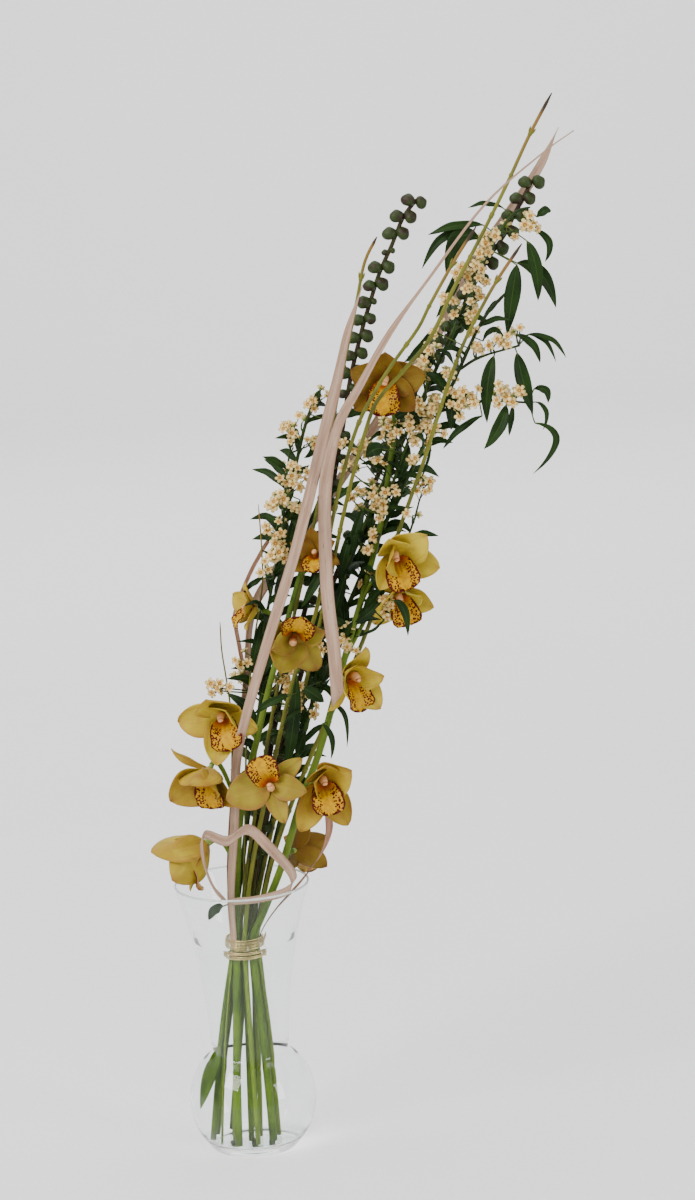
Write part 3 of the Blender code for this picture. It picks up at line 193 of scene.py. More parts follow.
BLOOMS = {
    "bloom_top": bloom("cymbidium_right", 735, "bronze", 1, (167.5, -27, 783.6), (-0.05, -1, -0.15),
        (0.1, 0, 1), (90, 38, 18, 1.05, 1.4), (220, 26, 10, 1, 1.2), (320, 26, 10, 1, 1.2),
        (160, 30, 12, 1, 1.3), (16, 14, 8, 1, 1.3)),
    "bloom_right": bloom("cymbidium_right", 555, "golden", 1, (170, -48, 613.6), (0.05, -1, -0.16),
        (-0.3, 0, 0.94), (88, 44, 25, 1, 1.25), (226, 34, 0, 0.9, 1), (326, 14, 8, 1.05, 1.3),
        (164, 66, 25, 0.9, 1.1), (24, 24, 16, 1.05, 1.4)),
    "bloom_right_low": bloom("cymbidium_right", 500, "golden", 0.9, (171.5, -22, 571.6), (0.15, -0.85, -0.5),
        (-0.3, 0, 0.94), (90, 20, -10, 0.9, 1), (222, 10, -6, 1.15, 1.1), (318, 26, 12, 1, 1.25),
        (158, 40, 10, 0.9, 1), (14, 44, 20, 0.85, 1.1)),
    "bloom_front": bloom("cymbidium_left", 528, "olive", 1, (67, -56, 541.3), (-0.02, -0.95, -0.26),
        (-0.3, 0, -0.95), (88, 32, 42, 1.05, 1.5), (214, 34, 10, 0.9, 1.1), (326, 40, 10, 0.9, 1.1),
        (136, 10, 0, 1.05, 1.1), (30, 48, 20, 0.8, 1)),
    "bloom_side": bloom("cymbidium_right", 461, "golden", 1, (116.9, -52, 495.1), (0.66, -0.74, -0.1),
        (0.12, 0, 0.99), (92, 36, 12, 1, 1.1), (268, -10, -20, 1, 0.55), (308, 42, 10, 1.1, 1.35),
        (150, 40, 10, 0.8, 1), (24, 56, 16, 0.9, 1)),
    "bloom_left": bloom("cymbidium_left", 429, "golden", 1, (-5.5, -54, 462.2), (-0.18, -0.97, -0.06),
        (-0.33, 0, 0.94), (84, 42, 40, 1.28, 1.75), (242, 26, 16, 1.18, 1.25), (318, 12, -8, 0.8, 1),
        (162, 18, -12, 1.13, 1.25), (34, 54, 30, 0.92, 1.2)),
    "bloom_left_low": bloom("cymbidium_left", 352, "amber", 1, (-24.7, -40, 404), (-0.34, -0.72, -0.6),
        (-0.25, -0.1, 0.96), (78, 48, 34, 1.1, 1.75), (146, -4, -4, 1.02, 0.5), (300, 34, 10, 1.05, 1.2),
        (186, 30, 26, 1.18, 1.7), (346, 46, 24, 0.86, 1.5)),
    "bloom_upturned": bloom("cymbidium_left", 392, "olive", 0.95, (36.9, -60, 391.6), (-0.08, -0.93, 0.26),
        (0.35, 0, -0.94), (88, 35, -30, 1.05, 0.85), (198, 16, 0, 1, 0.8), (322, 4, -6, 0.8, 0.9),
        (146, 24, 10, 1.05, 1), (352, 14, 4, 1.18, 1.45)),
    "bloom_right_foot": bloom("cymbidium_right", 348, "amber", 1, (86.4, -56, 392.3), (0.22, -0.95, 0.03),
        (-0.08, 0, 1), (96, 46, 36, 0.95, 1.4), (242, 10, 2, 1.25, 1.15), (290, 18, 8, 1.2, 1.2),
        (160, 62, 20, 0.8, 1.1), (22, 44, 12, 0.95, 1.45)),
    "bloom_left_foot": bloom("cymbidium_left", 296, "golden", 1.22, (-33.5, -14, 322.5),
        (-0.82, -0.2, -0.46), (-0.35, 0, 0.94), (66, 40, 44, 1.22, 1.55), (352, 44, 42, 1.14, 1.6),
        (290, 42, 34, 0.98, 0.85), (150, 50, 20, 1, 1.3), (222, 46, 20, 0.9, 1.1)),
    "bloom_behind": bloom("cymbidium_right", 290, "bronze", 0.85, (56.2, 30, 300.5), (0.45, 0.8, -0.1),
        (0, 0.1, 1), (90, 30, 8, 1, 1.1), (214, 30, 8, 1, 1.1), (326, 30, 8, 1, 1.1), (158, 40, 8, 1, 1.1),
        (22, 40, 8, 1, 1.1)),
    "bloom_left_back": bloom("cymbidium_left", 540, "golden", 0.7, (28, -12, 560), (-0.85, -0.25, 0.2),
        (0.2, 0, 1), (90, 34, 14, 1, 1.15), (214, 32, 10, 1, 1.15), (326, 28, 8, 1, 1.15),
        (158, 36, 14, 1, 1.2), (22, 34, 8, 1, 1.2)),
    "bloom_hidden": bloom("cymbidium_left", 590, "bronze", 0.72, (92, -22, 611), (-0.15, -0.8, 0.45),
        (0, 0.4, 1), (90, 36, 14, 1, 1), (214, 30, 8, 1, 1), (326, 30, 8, 1, 1), (158, 40, 14, 1, 1.1),
        (22, 40, 14, 1, 1.1)),
}

OUTSIDES = {"golden": "tepal_back", "olive": "tepal_back", "amber": "amber", "bronze": "bronze"}
TEPALS = ("sepal", "sepal", "sepal", "petal", "petal")
SEPAL = dict(length=0.042, width=0.0262, cup=0.32, start=-0.0030)
PETAL = dict(length=0.040, width=0.0280, cup=0.36, start=0.0010)
TEPAL_ROOT = 0.0016
TEPAL_THICKNESS = 0.0008

STRIPS = {
    "strip_long": strip(11, ((0, 0.06), (0.1, 0.7), (0.2, 1.05), (0.45, 0.95), (0.64, 0.84), (1, 0.72)), 0,
        (150, -30, 877, 1, 0, -0.3), (133, -40, 832, 1, 0, -0.3), (119, -52, 780, 1, 0.1, -0.2),
        (103, -66, 728, 1, 0.2, -0.3), (86, -82, 670, 1, 0.1, -0.3), (70, -93, 620, 1, 0, -0.3),
        (40, -98, 537, 1, -0.1, -0.3), (16, -90, 465, 1, -0.1, -0.2), (3, -49, 410, 1, 0, -0.1),
        (-2, -37, 350, 1, -0.1, 0), (-10, -27, 275, 1, -0.5, 0), (-10.7, -14.7, 225, 0.81, -0.59, 0),
        (-10.7, -14.7, 204.5, 0.81, -0.59, 0)),
    "strip_cut": strip(12.8, ((0, 0.08), (0.26, 0.22), (0.36, 0.5), (0.5, 0.75), (0.64, 1), (1, 1)), 6.5,
        (359, -34, 1015, 0.6, 0.3, -0.8), (326, -44, 994, 0.6, 0.3, -0.8), (270, -60, 950, 0.7, 0.2, -0.7),
        (213, -76, 883, 0.8, 0.1, -0.5), (174, -86, 835, 0.8, 0, -0.5), (143, -88, 786, 0.9, 0, -0.5),
        (122, -86, 752, 0.9, 0, -0.4), (110, -82, 715, 1, 0, -0.2), (104, -75.5, 680, 1, 0, 0),
        (102, -64, 632, 1, 0, 0), (102, -84, 580, 1, 0.1, 0), (106, -92, 525, 1, 0.1, 0.1),
        (107, -88, 480, 1, 0.1, 0.2)),
    "strip_pointed": strip(12, ((0, 0.04), (0.07, 0.75), (0.14, 1), (0.5, 0.85), (0.64, 0.55), (1, 0.6)), 0,
        (350, 34, 1018, 0.7, 0.2, -0.6), (332, 34, 984, 0.8, 0.2, -0.5), (305, 36, 944, 0.8, 0.2, -0.6),
        (265, 46, 890, 0.8, 0.2, -0.5), (222, 54, 819, 0.8, 0.1, -0.5), (174, 58, 753, 0.8, 0.1, -0.5),
        (122, 56, 680, 0.8, 0.1, -0.5), (77, 44, 622, 0.8, 0.1, -0.6), (41, 34, 579, 0.7, 0.1, -0.7),
        (26.5, 30, 555, 0.9, 0.2, -0.4), (20.5, 28, 532, 1, 0.2, 0), (17, 27, 500, 1, 0.2, 0.1),
        (10, 28, 450, 1, 0.3, 0.2), (-2, 26, 380, 1, 0.5, 0), (-12, 20, 290, 0.9, 0.7, 0),
        (-12.3, 12.3, 225, 0.71, 0.71, 0), (-12.3, 12.3, 204.5, 0.71, 0.71, 0)),
    "strip_wrap": strip(8.8,
        ((0, 0.5), (0.08, 0.7), (0.28, 0.9), (0.36, 1.2), (0.58, 1.3), (0.72, 1), (1, 0.8)), 0,
        (-16, -34, 268, 0.9, -0.3, 0.4), (-27.5, -42, 287.5, 0.5, -0.9, 0.2),
        (-34.5, -50, 316, 0.5, -0.9, 0), (-32.5, -56, 343, 0.2, -0.2, 1), (-10, -50, 334, 0.1, 0.1, 1),
        (10.5, -46, 344, 0.3, 0.1, 1), (29, -58, 331, 0.7, 0.2, 1), (53, -45, 296, 0.9, 0.1, 0.6),
        (48, -42, 279, 0.1, 0.3, 1), (20, -45, 272, 0, 0, 1), (-10, -30, 266, 0, 0, 1)),
    "strip_right": strip(8.5, ((0, 0.3), (0.15, 1), (0.6, 1), (1, 0.6)), 0, (88, 0, 352, 1, 0.5, -0.1),
        (92, -4, 332, 1, 0.5, 0.2), (84, -8, 308, 0.8, 0.7, 0.6), (62, -10, 280, 0.5, 0.9, 0.7),
        (34, -6, 250, 0.3, 1, 0.3), (16.7, 3, 222, 0.06, 1, 0), (16.7, 3, 204.5, 0.06, 1, 0)),
}
STRIP_SPLIT = strip(4.2, ((0, 0.3), (0.2, 1), (0.8, 1), (1, 0.4)), 0, (90, 46, 639, 0.8, 0.1, -0.6),
    (51.5, 24, 628.5, 0.6, 0.1, -0.8), (32.3, 18, 604.7, 0.7, 0.1, -0.7), (19, 16, 580.2, 0.8, 0.1, -0.6),
    (8.7, 15, 555.4, 1, 0.1, -0.3), (7.1, 15, 543.2, 1, 0.2, 0), (10, 18, 517.5, 1, 0.2, 0.1),
    (13, 24, 485, 1, 0.3, 0.2), (10, 27.7, 450, 1, 0.3, 0.2))
STRIP_THICKNESS = 0.0005

# The small pods of pods_left, the leaf in the bulb, and how far the stems' feet stand to one side
UNDEVELOPED = (6, 7, 12)
FOOT_LEAF = metres((-29, -10, 110), (-41, -13, 83), (-50.5, -14, 44))
FOOT_SHIFT = Vector((-0.0085, -0.002, 0.0))

# Clusters of florets, by stem: where the picture shows them, and how many florets each has
CLUSTERS = {
    "fulgens_right": ((530, 221, 5), (521, 231, 3), (491, 237, 5), (482, 250, 5), (475, 262, 3),
        (463, 273, 5), (478, 275, 4), (474, 291, 5), (474, 305, 4), (447, 302, 3), (462, 315, 3),
        (471, 325, 4), (440, 331, 3), (431, 353, 4), (419, 364, 6), (423, 376, 4), (410, 384, 4),
        (388, 428, 6), (404, 431, 3), (385, 441, 4), (383, 464, 2), (368, 459, 3), (357, 446, 3),
        (345, 449, 3), (344, 467, 4), (357, 492, 3), (355, 502, 3)),
    "fulgens_side": ((520, 327, 1), (473, 345, 2), (483, 344, 3), (494, 342, 3), (506, 341, 3),
        (446, 378, 4), (456, 396, 5), (466, 399, 3), (475, 397, 3), (462, 411, 2), (494, 391, 2),
        (503, 397, 4), (516, 396, 4), (425, 403, 4), (436, 406, 4), (416, 420, 5), (428, 424, 4),
        (420, 434, 4), (440, 431, 2), (419, 456, 3), (425, 482, 4), (421, 493, 3), (413, 515, 1),
        (393, 495, 2), (380, 495, 4), (381, 504, 4), (376, 513, 4), (379, 535, 2), (366, 543, 3),
        (399, 541, 2), (366, 577, 2), (386, 601, 5), (384, 612, 2), (344, 633, 4), (348, 646, 4),
        (325, 644, 3)),
    "fulgens_left": ((314, 408, 3), (296, 421, 3), (291, 431, 3), (297, 442, 2), (314, 444, 3),
        (326, 397, 2), (286, 470, 3), (287, 478, 3), (299, 468, 3), (304, 484, 4), (276, 500, 5),
        (281, 506, 3), (294, 514, 4), (273, 528, 4), (275, 543, 2), (286, 547, 4), (276, 558, 4),
        (268, 565, 3), (317, 559, 3), (243, 662, 4), (225, 688, 4), (217, 691, 2), (279, 676, 3),
        (288, 673, 3), (295, 689, 4), (296, 696, 2), (311, 709, 2), (303, 703, 2)),
}

# Leaves, by stem: depth, width in picture points, and where the picture shows root, middle and tip
LEAVES = {
    "fulgens_right": ((-16, 16, 517, 265, 512, 296, 507, 335), (-12, 13, 527, 241, 537, 268, 538, 301),
        (-2, 14, 517, 263, 543, 272, 556, 308), (-6, 8, 533, 230, 551, 241, 545, 262),
        (-6, 9, 537, 217, 545, 210, 551, 211), (2, 5, 503, 208, 485, 202, 468, 208),
        (-6, 9, 483, 225, 455, 225, 428, 235), (0, 9, 468, 231, 441, 236, 422, 269),
        (-4, 17, 479, 239, 456, 235, 446, 274), (-14, 9, 427, 372, 440, 382, 447, 396),
        (-4, 9, 368, 409, 357, 411, 345, 418), (-20, 15, 383, 449, 374, 449, 366, 457),
        (-4, 11, 408, 444, 405, 464, 398, 483), (-12, 7, 360, 481, 346, 491, 331, 503),
        (-2, 9, 402, 478, 396, 500, 386, 520), (4, 10, 352, 530, 344, 556, 339, 585),
        (-4, 10, 346, 575, 338, 600, 332, 630), (-2, 10, 364, 508, 356, 530, 352, 556),
        (6, 10, 320, 610, 312, 640, 300, 668), (6, 10, 462, 262, 452, 290, 436, 318)),
    "fulgens_side": ((-18, 8, 516, 335, 534, 343, 540, 363), (-16, 5, 527, 335, 552, 337, 566, 358),
        (-12, 5, 527, 335, 545, 338, 556, 362), (-10, 6, 483, 341, 493, 327, 506, 340),
        (-22, 14, 494, 356, 487, 385, 487, 423), (-22, 15, 517, 353, 523, 382, 533, 414),
        (-28, 13, 506, 405, 500, 428, 484, 449), (-24, 6, 513, 406, 511, 420, 509, 436),
        (-18, 8, 534, 389, 547, 389, 548, 403), (-20, 5, 536, 402, 548, 411, 543, 430),
        (-22, 7, 535, 423, 562, 438, 533, 474), (-18, 7, 482, 416, 459, 429, 443, 449),
        (-10, 13, 450, 390, 452, 410, 451, 430), (-4, 3, 431, 443, 428, 462, 421, 478),
        (-12, 5, 372, 503, 394, 508, 414, 507), (-30, 10, 371, 576, 379, 585, 383, 597),
        (-34, 9, 380, 600, 370, 613, 355, 622), (-36, 3, 384, 620, 371, 632, 354, 637),
        (-46, 8, 290, 695, 270, 702, 254, 714), (-40, 13, 304, 688, 314, 694, 324, 702),
        (0, 10, 340, 590, 346, 620, 336, 652), (2, 9, 432, 330, 420, 350, 404, 362)),
    "fulgens_left": ((-40, 9, 321, 571, 313, 588, 301, 608), (-6, 6, 263, 578, 253, 583, 243, 593),
        (-40, 4, 300, 711, 290, 716, 283, 727), (-2, 8, 300, 500, 292, 530, 284, 562),
        (-4, 8, 292, 560, 284, 590, 270, 622), (2, 9, 262, 620, 256, 648, 250, 676),
        (4, 9, 326, 420, 318, 446, 304, 458), (-30, 10, 223, 906, 214, 909, 209, 920)),
    "cymbidium_right": ((-46, 9, 394, 601, 405, 609, 408, 636), (-34, 5, 330, 705, 346, 712, 347, 747),
        (-38, 6, 322, 724, 333, 737, 331, 759)),
    "pods_low": ((-34, 13, 297, 676, 293, 730, 284, 776),),
}


def nothing_selected():
    bpy.ops.object.select_all(action="DESELECT")


def in_picture(px, py, depth):
    """The place seen at a picture point, at a depth along Y."""
    right = px - PICTURE[0] / 2
    rise = PICTURE[1] / 2 - py
    u = (right * math.cos(CAMERA_ROLL) + rise * math.sin(CAMERA_ROLL)) / FOCAL_PIXELS
    v = (rise * math.cos(CAMERA_ROLL) - right * math.sin(CAMERA_ROLL)) / FOCAL_PIXELS
    way = Vector((u, math.cos(CAMERA_PITCH) + v * math.sin(CAMERA_PITCH),
                  v * math.cos(CAMERA_PITCH) - math.sin(CAMERA_PITCH)))
    return CAMERA_PLACE + way * ((depth - CAMERA_PLACE.y) / way.y)


def polar(reach, turn, height=0.0):
    return Vector((reach * math.cos(turn), reach * math.sin(turn), height))


def smooth_path(points, cuts=4):
    """Points of a smooth curve through the given points, with cuts spans between each pair."""
    knots = [Vector(p) for p in points]
    ends = [knots[0] * 2 - knots[1]] + knots + [knots[-1] * 2 - knots[-2]]
    path = []
    for i in range(1, len(ends) - 2):
        a, b, c, d = ends[i - 1:i + 3]
        for k in range(cuts):
            t = k / cuts
            path.append(0.5 * (2 * b + (c - a) * t + (2 * a - 5 * b + 4 * c - d) * t * t
                               + (3 * b - a - 3 * c + d) * t ** 3))
    return path + [knots[-1]]


def at_steps(path, step):
    """Points one step apart along the whole of a path, with the direction at each."""
    points = []
    reach = step
    for start, end in zip(path, path[1:]):
        length = (end - start).length
        while reach <= length:
            points.append((start.lerp(end, reach / length), (end - start).normalized()))
            reach += step
        reach -= length
    return points


def nearest_on(path, place):
    return min(path, key=lambda point: (point - place).length)


def frame_at(place, facing, up):
    """A matrix whose Z looks along facing and whose Y is as near to up as it can be."""
    z = Vector(facing).normalized()
    x = Vector(up).cross(z).normalized()
    return Matrix.Translation(place) @ Matrix((x, z.cross(x), z)).transposed().to_4x4()


def blend_keys(keys, t):
    """The values of a table of (t, value, value ...) rows at t, joined by smooth steps."""
    for low, high in zip(keys, keys[1:]):
        if t <= high[0]:
            k = (t - low[0]) / (high[0] - low[0])
            k = k * k * (3.0 - 2.0 * k)
            return [a + (b - a) * k for a, b in zip(low[1:], high[1:])]
    return list(keys[-1][1:])


# Materials

class Finish:
    """One material, whose colour is built up in layers of nodes."""

    def __init__(self, name, **sockets):
        self.material = bpy.data.materials.new(name)
        self.material.use_nodes = True
        self.tree = self.material.node_tree
        self.shader = self.tree.nodes["Principled BSDF"]
        for socket, value in sockets.items():
            self.shader.inputs[socket.replace("_", " ")].default_value = value
        places = self.tree.nodes.new("ShaderNodeTexCoord")
        self.place, self.uv = places.outputs["Object"], places.outputs["UV"]
        self.across, self.along = self.node("SeparateXYZ", {0: self.uv}).outputs[:2]

    def node(self, kind, inputs, **settings):
        added = self.tree.nodes.new("ShaderNode" + kind)
        for setting, value in settings.items():
            setattr(added, setting, value)
        for socket, value in inputs.items():
            if isinstance(value, bpy.types.NodeSocket):
                self.tree.links.new(value, added.inputs[socket])
            else:
                added.inputs[socket].default_value = value
        return added

    def sums(self, operation, a, b=0.0):
        return self.node("Math", {0: a, 1: b}, operation=operation).outputs[0]

    def times(self, a, b):
        return self.sums("MULTIPLY", a, b)

    def less(self, a, b):
        return self.sums("SUBTRACT", a, b)

    def between(self, value, low, high):
        """0 below low, 1 above high and a smooth step between them."""
        inputs = {"Value": value, "From Min": low, "From Max": high}
        return self.node("MapRange", inputs, interpolation_type="SMOOTHSTEP").outputs[0]

    def off_middle(self):
        """0 along the middle line of a blade and 1 at its two edges."""
        return self.sums("ABSOLUTE", self.times(self.less(self.across, 0.5), 2.0))

    def edges(self, low, high, from_tip, to_tip):
        """1 at the two edges of a blade and at its tip, 0 further in."""
        return self.sums("MAXIMUM", self.between(self.off_middle(), low, high),
                         self.between(self.along, from_tip, to_tip))

    def noise(self, scale, detail=3.0, rough=0.5, source=None):
        inputs = {"Vector": source or self.place, "Scale": scale, "Detail": detail, "Roughness": rough}
        return self.node("TexNoise", inputs).outputs["Fac"]

    def grain(self, across, along, detail=3.0, rough=0.5):
        """Noise that is drawn out along a blade or a rod."""
        source = self.node("Mapping", {0: self.uv, 3: (across, along, 1.0)}).outputs[0]
        return self.noise(1.0, detail, rough, source)

    def cells(self, scale):
        inputs = {"Vector": self.place, "Scale": scale}
        return self.node("TexVoronoi", inputs, feature="F1").outputs["Distance"]

    def mix(self, factor, a, b):
        a, b = [c if isinstance(c, bpy.types.NodeSocket) else (*c, 1.0) for c in (a, b)]
        return self.node("Mix", {0: factor, 6: a, 7: b}, data_type="RGBA").outputs[2]

    def ground(self, value, light, dark, steps=None):
        """The lowest layer, from light to dark as the value rises, between two steps if they are given."""
        self.body = self.mix(self.between(value, *steps) if steps else value, light, dark)

    def lay(self, colour, cover, share=1.0):
        """One more layer over the rest, where cover is high, and no more than a share of it."""
        self.body = self.mix(self.times(cover, share) if share < 1.0 else cover, self.body, colour)

    def below(self, value, low, high, colour):
        """One more layer where the value is below low, fading out up to high."""
        self.body = self.mix(self.between(value, low, high), colour, self.body)

    def in_water(self, colour):
        """Fresher colour in the water, fading out above it."""
        self.below(self.node("SeparateXYZ", {0: self.place}).outputs[2], *FRESH_HEIGHTS, colour)

    def dots(self, scale, size, colour, share):
        self.lay(colour, self.sums("LESS_THAN", self.cells(scale), size), share)

    def done(self, bump=None, rough=None):
        """The material with its colour, and with bumps and roughness that follow a value."""
        links = self.tree.links
        if hasattr(self, "body"):
            links.new(self.body, self.shader.inputs["Base Color"])
        if rough:
            inputs = dict(zip(("Value", "To Min", "To Max"), rough))
            links.new(self.node("MapRange", inputs).outputs[0], self.shader.inputs["Roughness"])
        if bump:
            inputs = dict(zip(("Height", "Distance", "Strength"), bump))
            links.new(self.node("Bump", inputs).outputs[0], self.shader.inputs["Normal"])
        return self.material


def tepal_finish(name, light, middle, edge):
    """Waxy petal: fine veins from root to tip, mottled colour and a warmer rim."""
    paint = Finish(name, Roughness=0.50, Specular_IOR_Level=0.12, Subsurface_Weight=0.04,
                   Subsurface_Radius=(0.9, 0.6, 0.15), Subsurface_Scale=0.002)
    veins = paint.grain(30.0, 1.2, 2.0)
    paint.ground(paint.noise(42.0), light, middle, (0.34, 0.64))
    paint.lay(edge, paint.between(veins, 0.50, 0.70), 0.40)
    flush = paint.less(1.0, paint.between(paint.off_middle(), 0.0, 0.62))
    paint.lay(edge, paint.times(flush, paint.between(paint.noise(60.0), 0.36, 0.66)), 0.34)
    root = paint.less(1.0, paint.between(paint.along, 0.05, 0.34))
    rim = paint.edges(0.66, 1.05, 0.80, 1.05)
    warm = paint.sums("MAXIMUM", paint.times(rim, 0.70), paint.times(root, 0.50))
    paint.lay(edge, paint.times(warm, paint.between(paint.noise(30.0), 0.30, 0.64)))
    return paint.done((veins, 0.0006, 0.6), (veins, 0.42, 0.60))


def lip_finish():
    """Golden lip: an orange throat, dark spots on its sides and a close-spotted maroon rim."""
    paint = Finish("lip_spotted", Roughness=0.50, Specular_IOR_Level=0.10)
    clouds = paint.noise(240.0)
    paint.ground(clouds, (0.50, 0.285, 0.001), (0.40, 0.185, 0.001), (0.35, 0.70))
    paint.lay((0.48, 0.15, 0.010), paint.between(paint.grain(26.0, 1.0, 1.0), 0.52, 0.66), 0.45)
    paint.lay((0.36, 0.05, 0.006), paint.less(1.0, paint.between(paint.along, 0.08, 0.40)), 0.9)
    sides = paint.times(paint.between(paint.off_middle(), 0.16, 0.44), paint.between(paint.along, 0.16, 0.36))
    rim = paint.edges(0.86, 0.97, 0.90, 0.98)
    reach = paint.sums("ADD", paint.times(rim, 0.34), paint.times(sides, 0.50))
    paint.lay((0.070, 0.005, 0.004), paint.between(paint.less(reach, paint.cells(500.0)), -0.02, 0.03))
    return paint.done((clouds, 0.0003, 0.4))


def lip_back_finish():
    paint = Finish("lip_back", Roughness=0.45, Specular_IOR_Level=0.35)
    paint.ground(paint.noise(220.0), (0.62, 0.42, 0.09), (0.56, 0.30, 0.07))
    paint.lay((0.25, 0.05, 0.02), paint.between(paint.off_middle(), 0.70, 1.0), 0.7)
    return paint.done()


def column_finish():
    """Green where it joins its stalk, flushed orange in the throat and peach towards its cap."""
    paint = Finish("column_peach", Roughness=0.36, Specular_IOR_Level=0.40, Subsurface_Weight=0.06,
                   Subsurface_Radius=(0.9, 0.4, 0.2), Subsurface_Scale=0.002)
    paint.ground(paint.noise(300.0), (0.66, 0.36, 0.17), (0.56, 0.26, 0.10))
    paint.below(paint.along, 0.50, 0.78, (0.42, 0.11, 0.02))
    paint.below(paint.along, 0.30, 0.42, (0.17, 0.23, 0.04))
    return paint.done()


def stem_finish(name, light, dark, spots=None):
    """Smooth stem with faint lengthwise lines; fresh green in the water, its own colour above it."""
    paint = Finish(name, Roughness=0.50, Specular_IOR_Level=0.10)
    lines = paint.grain(16.0, 5.0)
    slow = paint.between(paint.noise(22.0), 0.36, 0.66)
    paint.ground(slow, light, dark)
    if spots:
        paint.lay(spots, paint.between(paint.noise(210.0, 4.0, 0.65), 0.56, 0.64), 0.75)
    paint.in_water(paint.mix(slow, (0.072, 0.130, 0.001), (0.032, 0.066, 0.001)))
    paint.dots(110.0, 0.12, (0.02, 0.022, 0.008), 0.8)
    paint.lay(dark, lines, 0.4)
    return paint.done((lines, 0.0003, 0.4))


def leaf_finish(name, light, dark, rib):
    """Leaf with a pale middle rib and slanting side veins."""
    paint = Finish(name, Roughness=0.46, Specular_IOR_Level=0.09)
    middle = paint.off_middle()
    slant = paint.less(paint.times(paint.along, 60.0), paint.times(middle, 14.0))
    veins = paint.between(paint.sums("SINE", slant), 0.80, 1.0)
    paint.ground(paint.noise(42.0), light, dark, (0.35, 0.68))
    paint.lay(rib, veins, 0.20)
    paint.lay(rib, paint.less(1.0, paint.between(middle, 0.03, 0.10)), 0.60)
    return paint.done((veins, -0.0003, 0.4))


def floret_finish():
    """Cream floret with an orange-brown ring round its yellow eye, greener behind."""
    paint = Finish("floret_cream", Roughness=0.55, Specular_IOR_Level=0.18, Subsurface_Weight=0.03,
                   Subsurface_Radius=(0.9, 0.7, 0.4), Subsurface_Scale=0.0015)
    clouds = paint.between(paint.noise(110.0, 1.0), 0.34, 0.62)
    outer = paint.mix(clouds, (0.88, 0.71, 0.32), (0.68, 0.51, 0.20))
    paint.ground(paint.along, (0.50, 0.36, 0.05), (0.27, 0.10, 0.020), (0.07, 0.14))
    paint.lay((0.70, 0.44, 0.14), paint.between(paint.along, 0.18, 0.30))
    paint.lay(outer, paint.between(paint.along, 0.30, 0.50))
    paint.lay((0.22, 0.25, 0.05), paint.between(paint.along, 0.74, 0.92))
    return paint.done()


def pod_finish():
    """Dull green pod, flushed maroon in patches."""
    paint = Finish("pod_green", Roughness=0.50, Specular_IOR_Level=0.22)
    fine = paint.noise(420.0)
    paint.ground(paint.noise(95.0), (0.024, 0.044, 0.006), (0.026, 0.012, 0.007), (0.50, 0.68))
    paint.lay((0.016, 0.020, 0.007), fine, 0.5)
    return paint.done((fine, 0.0006, 0.5))


def twig_finish():
    """Olive bark, tan-brown towards the tip and dark at its very end, with fine lines and pale dots."""
    paint = Finish("twig_bark", Roughness=0.58, Specular_IOR_Level=0.22)
    lines = paint.grain(9.0, 26.0, 4.0)
    paint.ground(paint.noise(30.0), (0.155, 0.160, 0.012), (0.082, 0.092, 0.010), (0.35, 0.68))
    paint.lay((0.22, 0.115, 0.022), paint.between(paint.along, 0.84, 0.96))
    paint.lay((0.026, 0.013, 0.010), paint.between(paint.along, 0.950, 0.966))
    paint.in_water((0.092, 0.158, 0.003))
    paint.dots(420.0, 0.16, (0.30, 0.25, 0.07), 0.35)
    paint.lay((0.06, 0.045, 0.010), lines, 0.4)
    return paint.done((lines, 0.0004, 0.6))


def strip_finish(name, light, dark, mark):
    """Dried plant strip: long pale fibres, browner lines and scattered cross marks."""
    paint = Finish(name, Roughness=0.66, Specular_IOR_Level=0.20)
    fibres = paint.grain(34.0, 7.0, 4.0, 0.6)
    paint.ground(paint.grain(2.5, 9.0), light, dark, (0.34, 0.66))
    paint.lay(dark, paint.between(fibres, 0.46, 0.70), 0.75)
    paint.lay(mark, paint.between(paint.grain(7.0, 42.0), 0.62, 0.70), 0.8)
    paint.lay(mark, paint.between(paint.off_middle(), 0.82, 1.0), 0.45)
    return paint.done((fibres, 0.0005, 0.7))


def wire_finish():
    paint = Finish("wire_gold", Metallic=0.85)
    wear = paint.noise(400.0)
    paint.ground(wear, (0.66, 0.52, 0.22), (0.38, 0.28, 0.10))
    return paint.done(rough=(wear, 0.22, 0.40))


def clear_finish(name, colour, bend):
    """Clear glass or water, with the slightest waviness in its surface."""
    paint = Finish(name, Base_Color=(*colour, 1.0), Roughness=0.0, IOR=bend, Transmission_Weight=1.0)
    return paint.done((paint.noise(14.0, 1.0), 0.0003, 0.06))


def rim_highlight_finish():
    """A whitish, half clear ring along the glass's melted edge: painted highlight where the rim catches the
    light.
    """
    paint = Finish("vase_rim_painted_highlight", Roughness=0.12, IOR=1.45, Transmission_Weight=0.55)
    clouds = paint.noise(30.0)
    # Whitish colours on the rim: painted highlight
    paint.ground(clouds, (0.62, 0.70, 0.67), (0.90, 0.94, 0.92))
    return paint.done((clouds, 0.0003, 0.2))


def stage_finish():
    paint = Finish("studio_paper", Roughness=0.85, Specular_IOR_Level=0.2)
    paint.ground(paint.noise(3.0, 2.0), (0.865, 0.865, 0.870), (0.890, 0.890, 0.895))
    return paint.done()


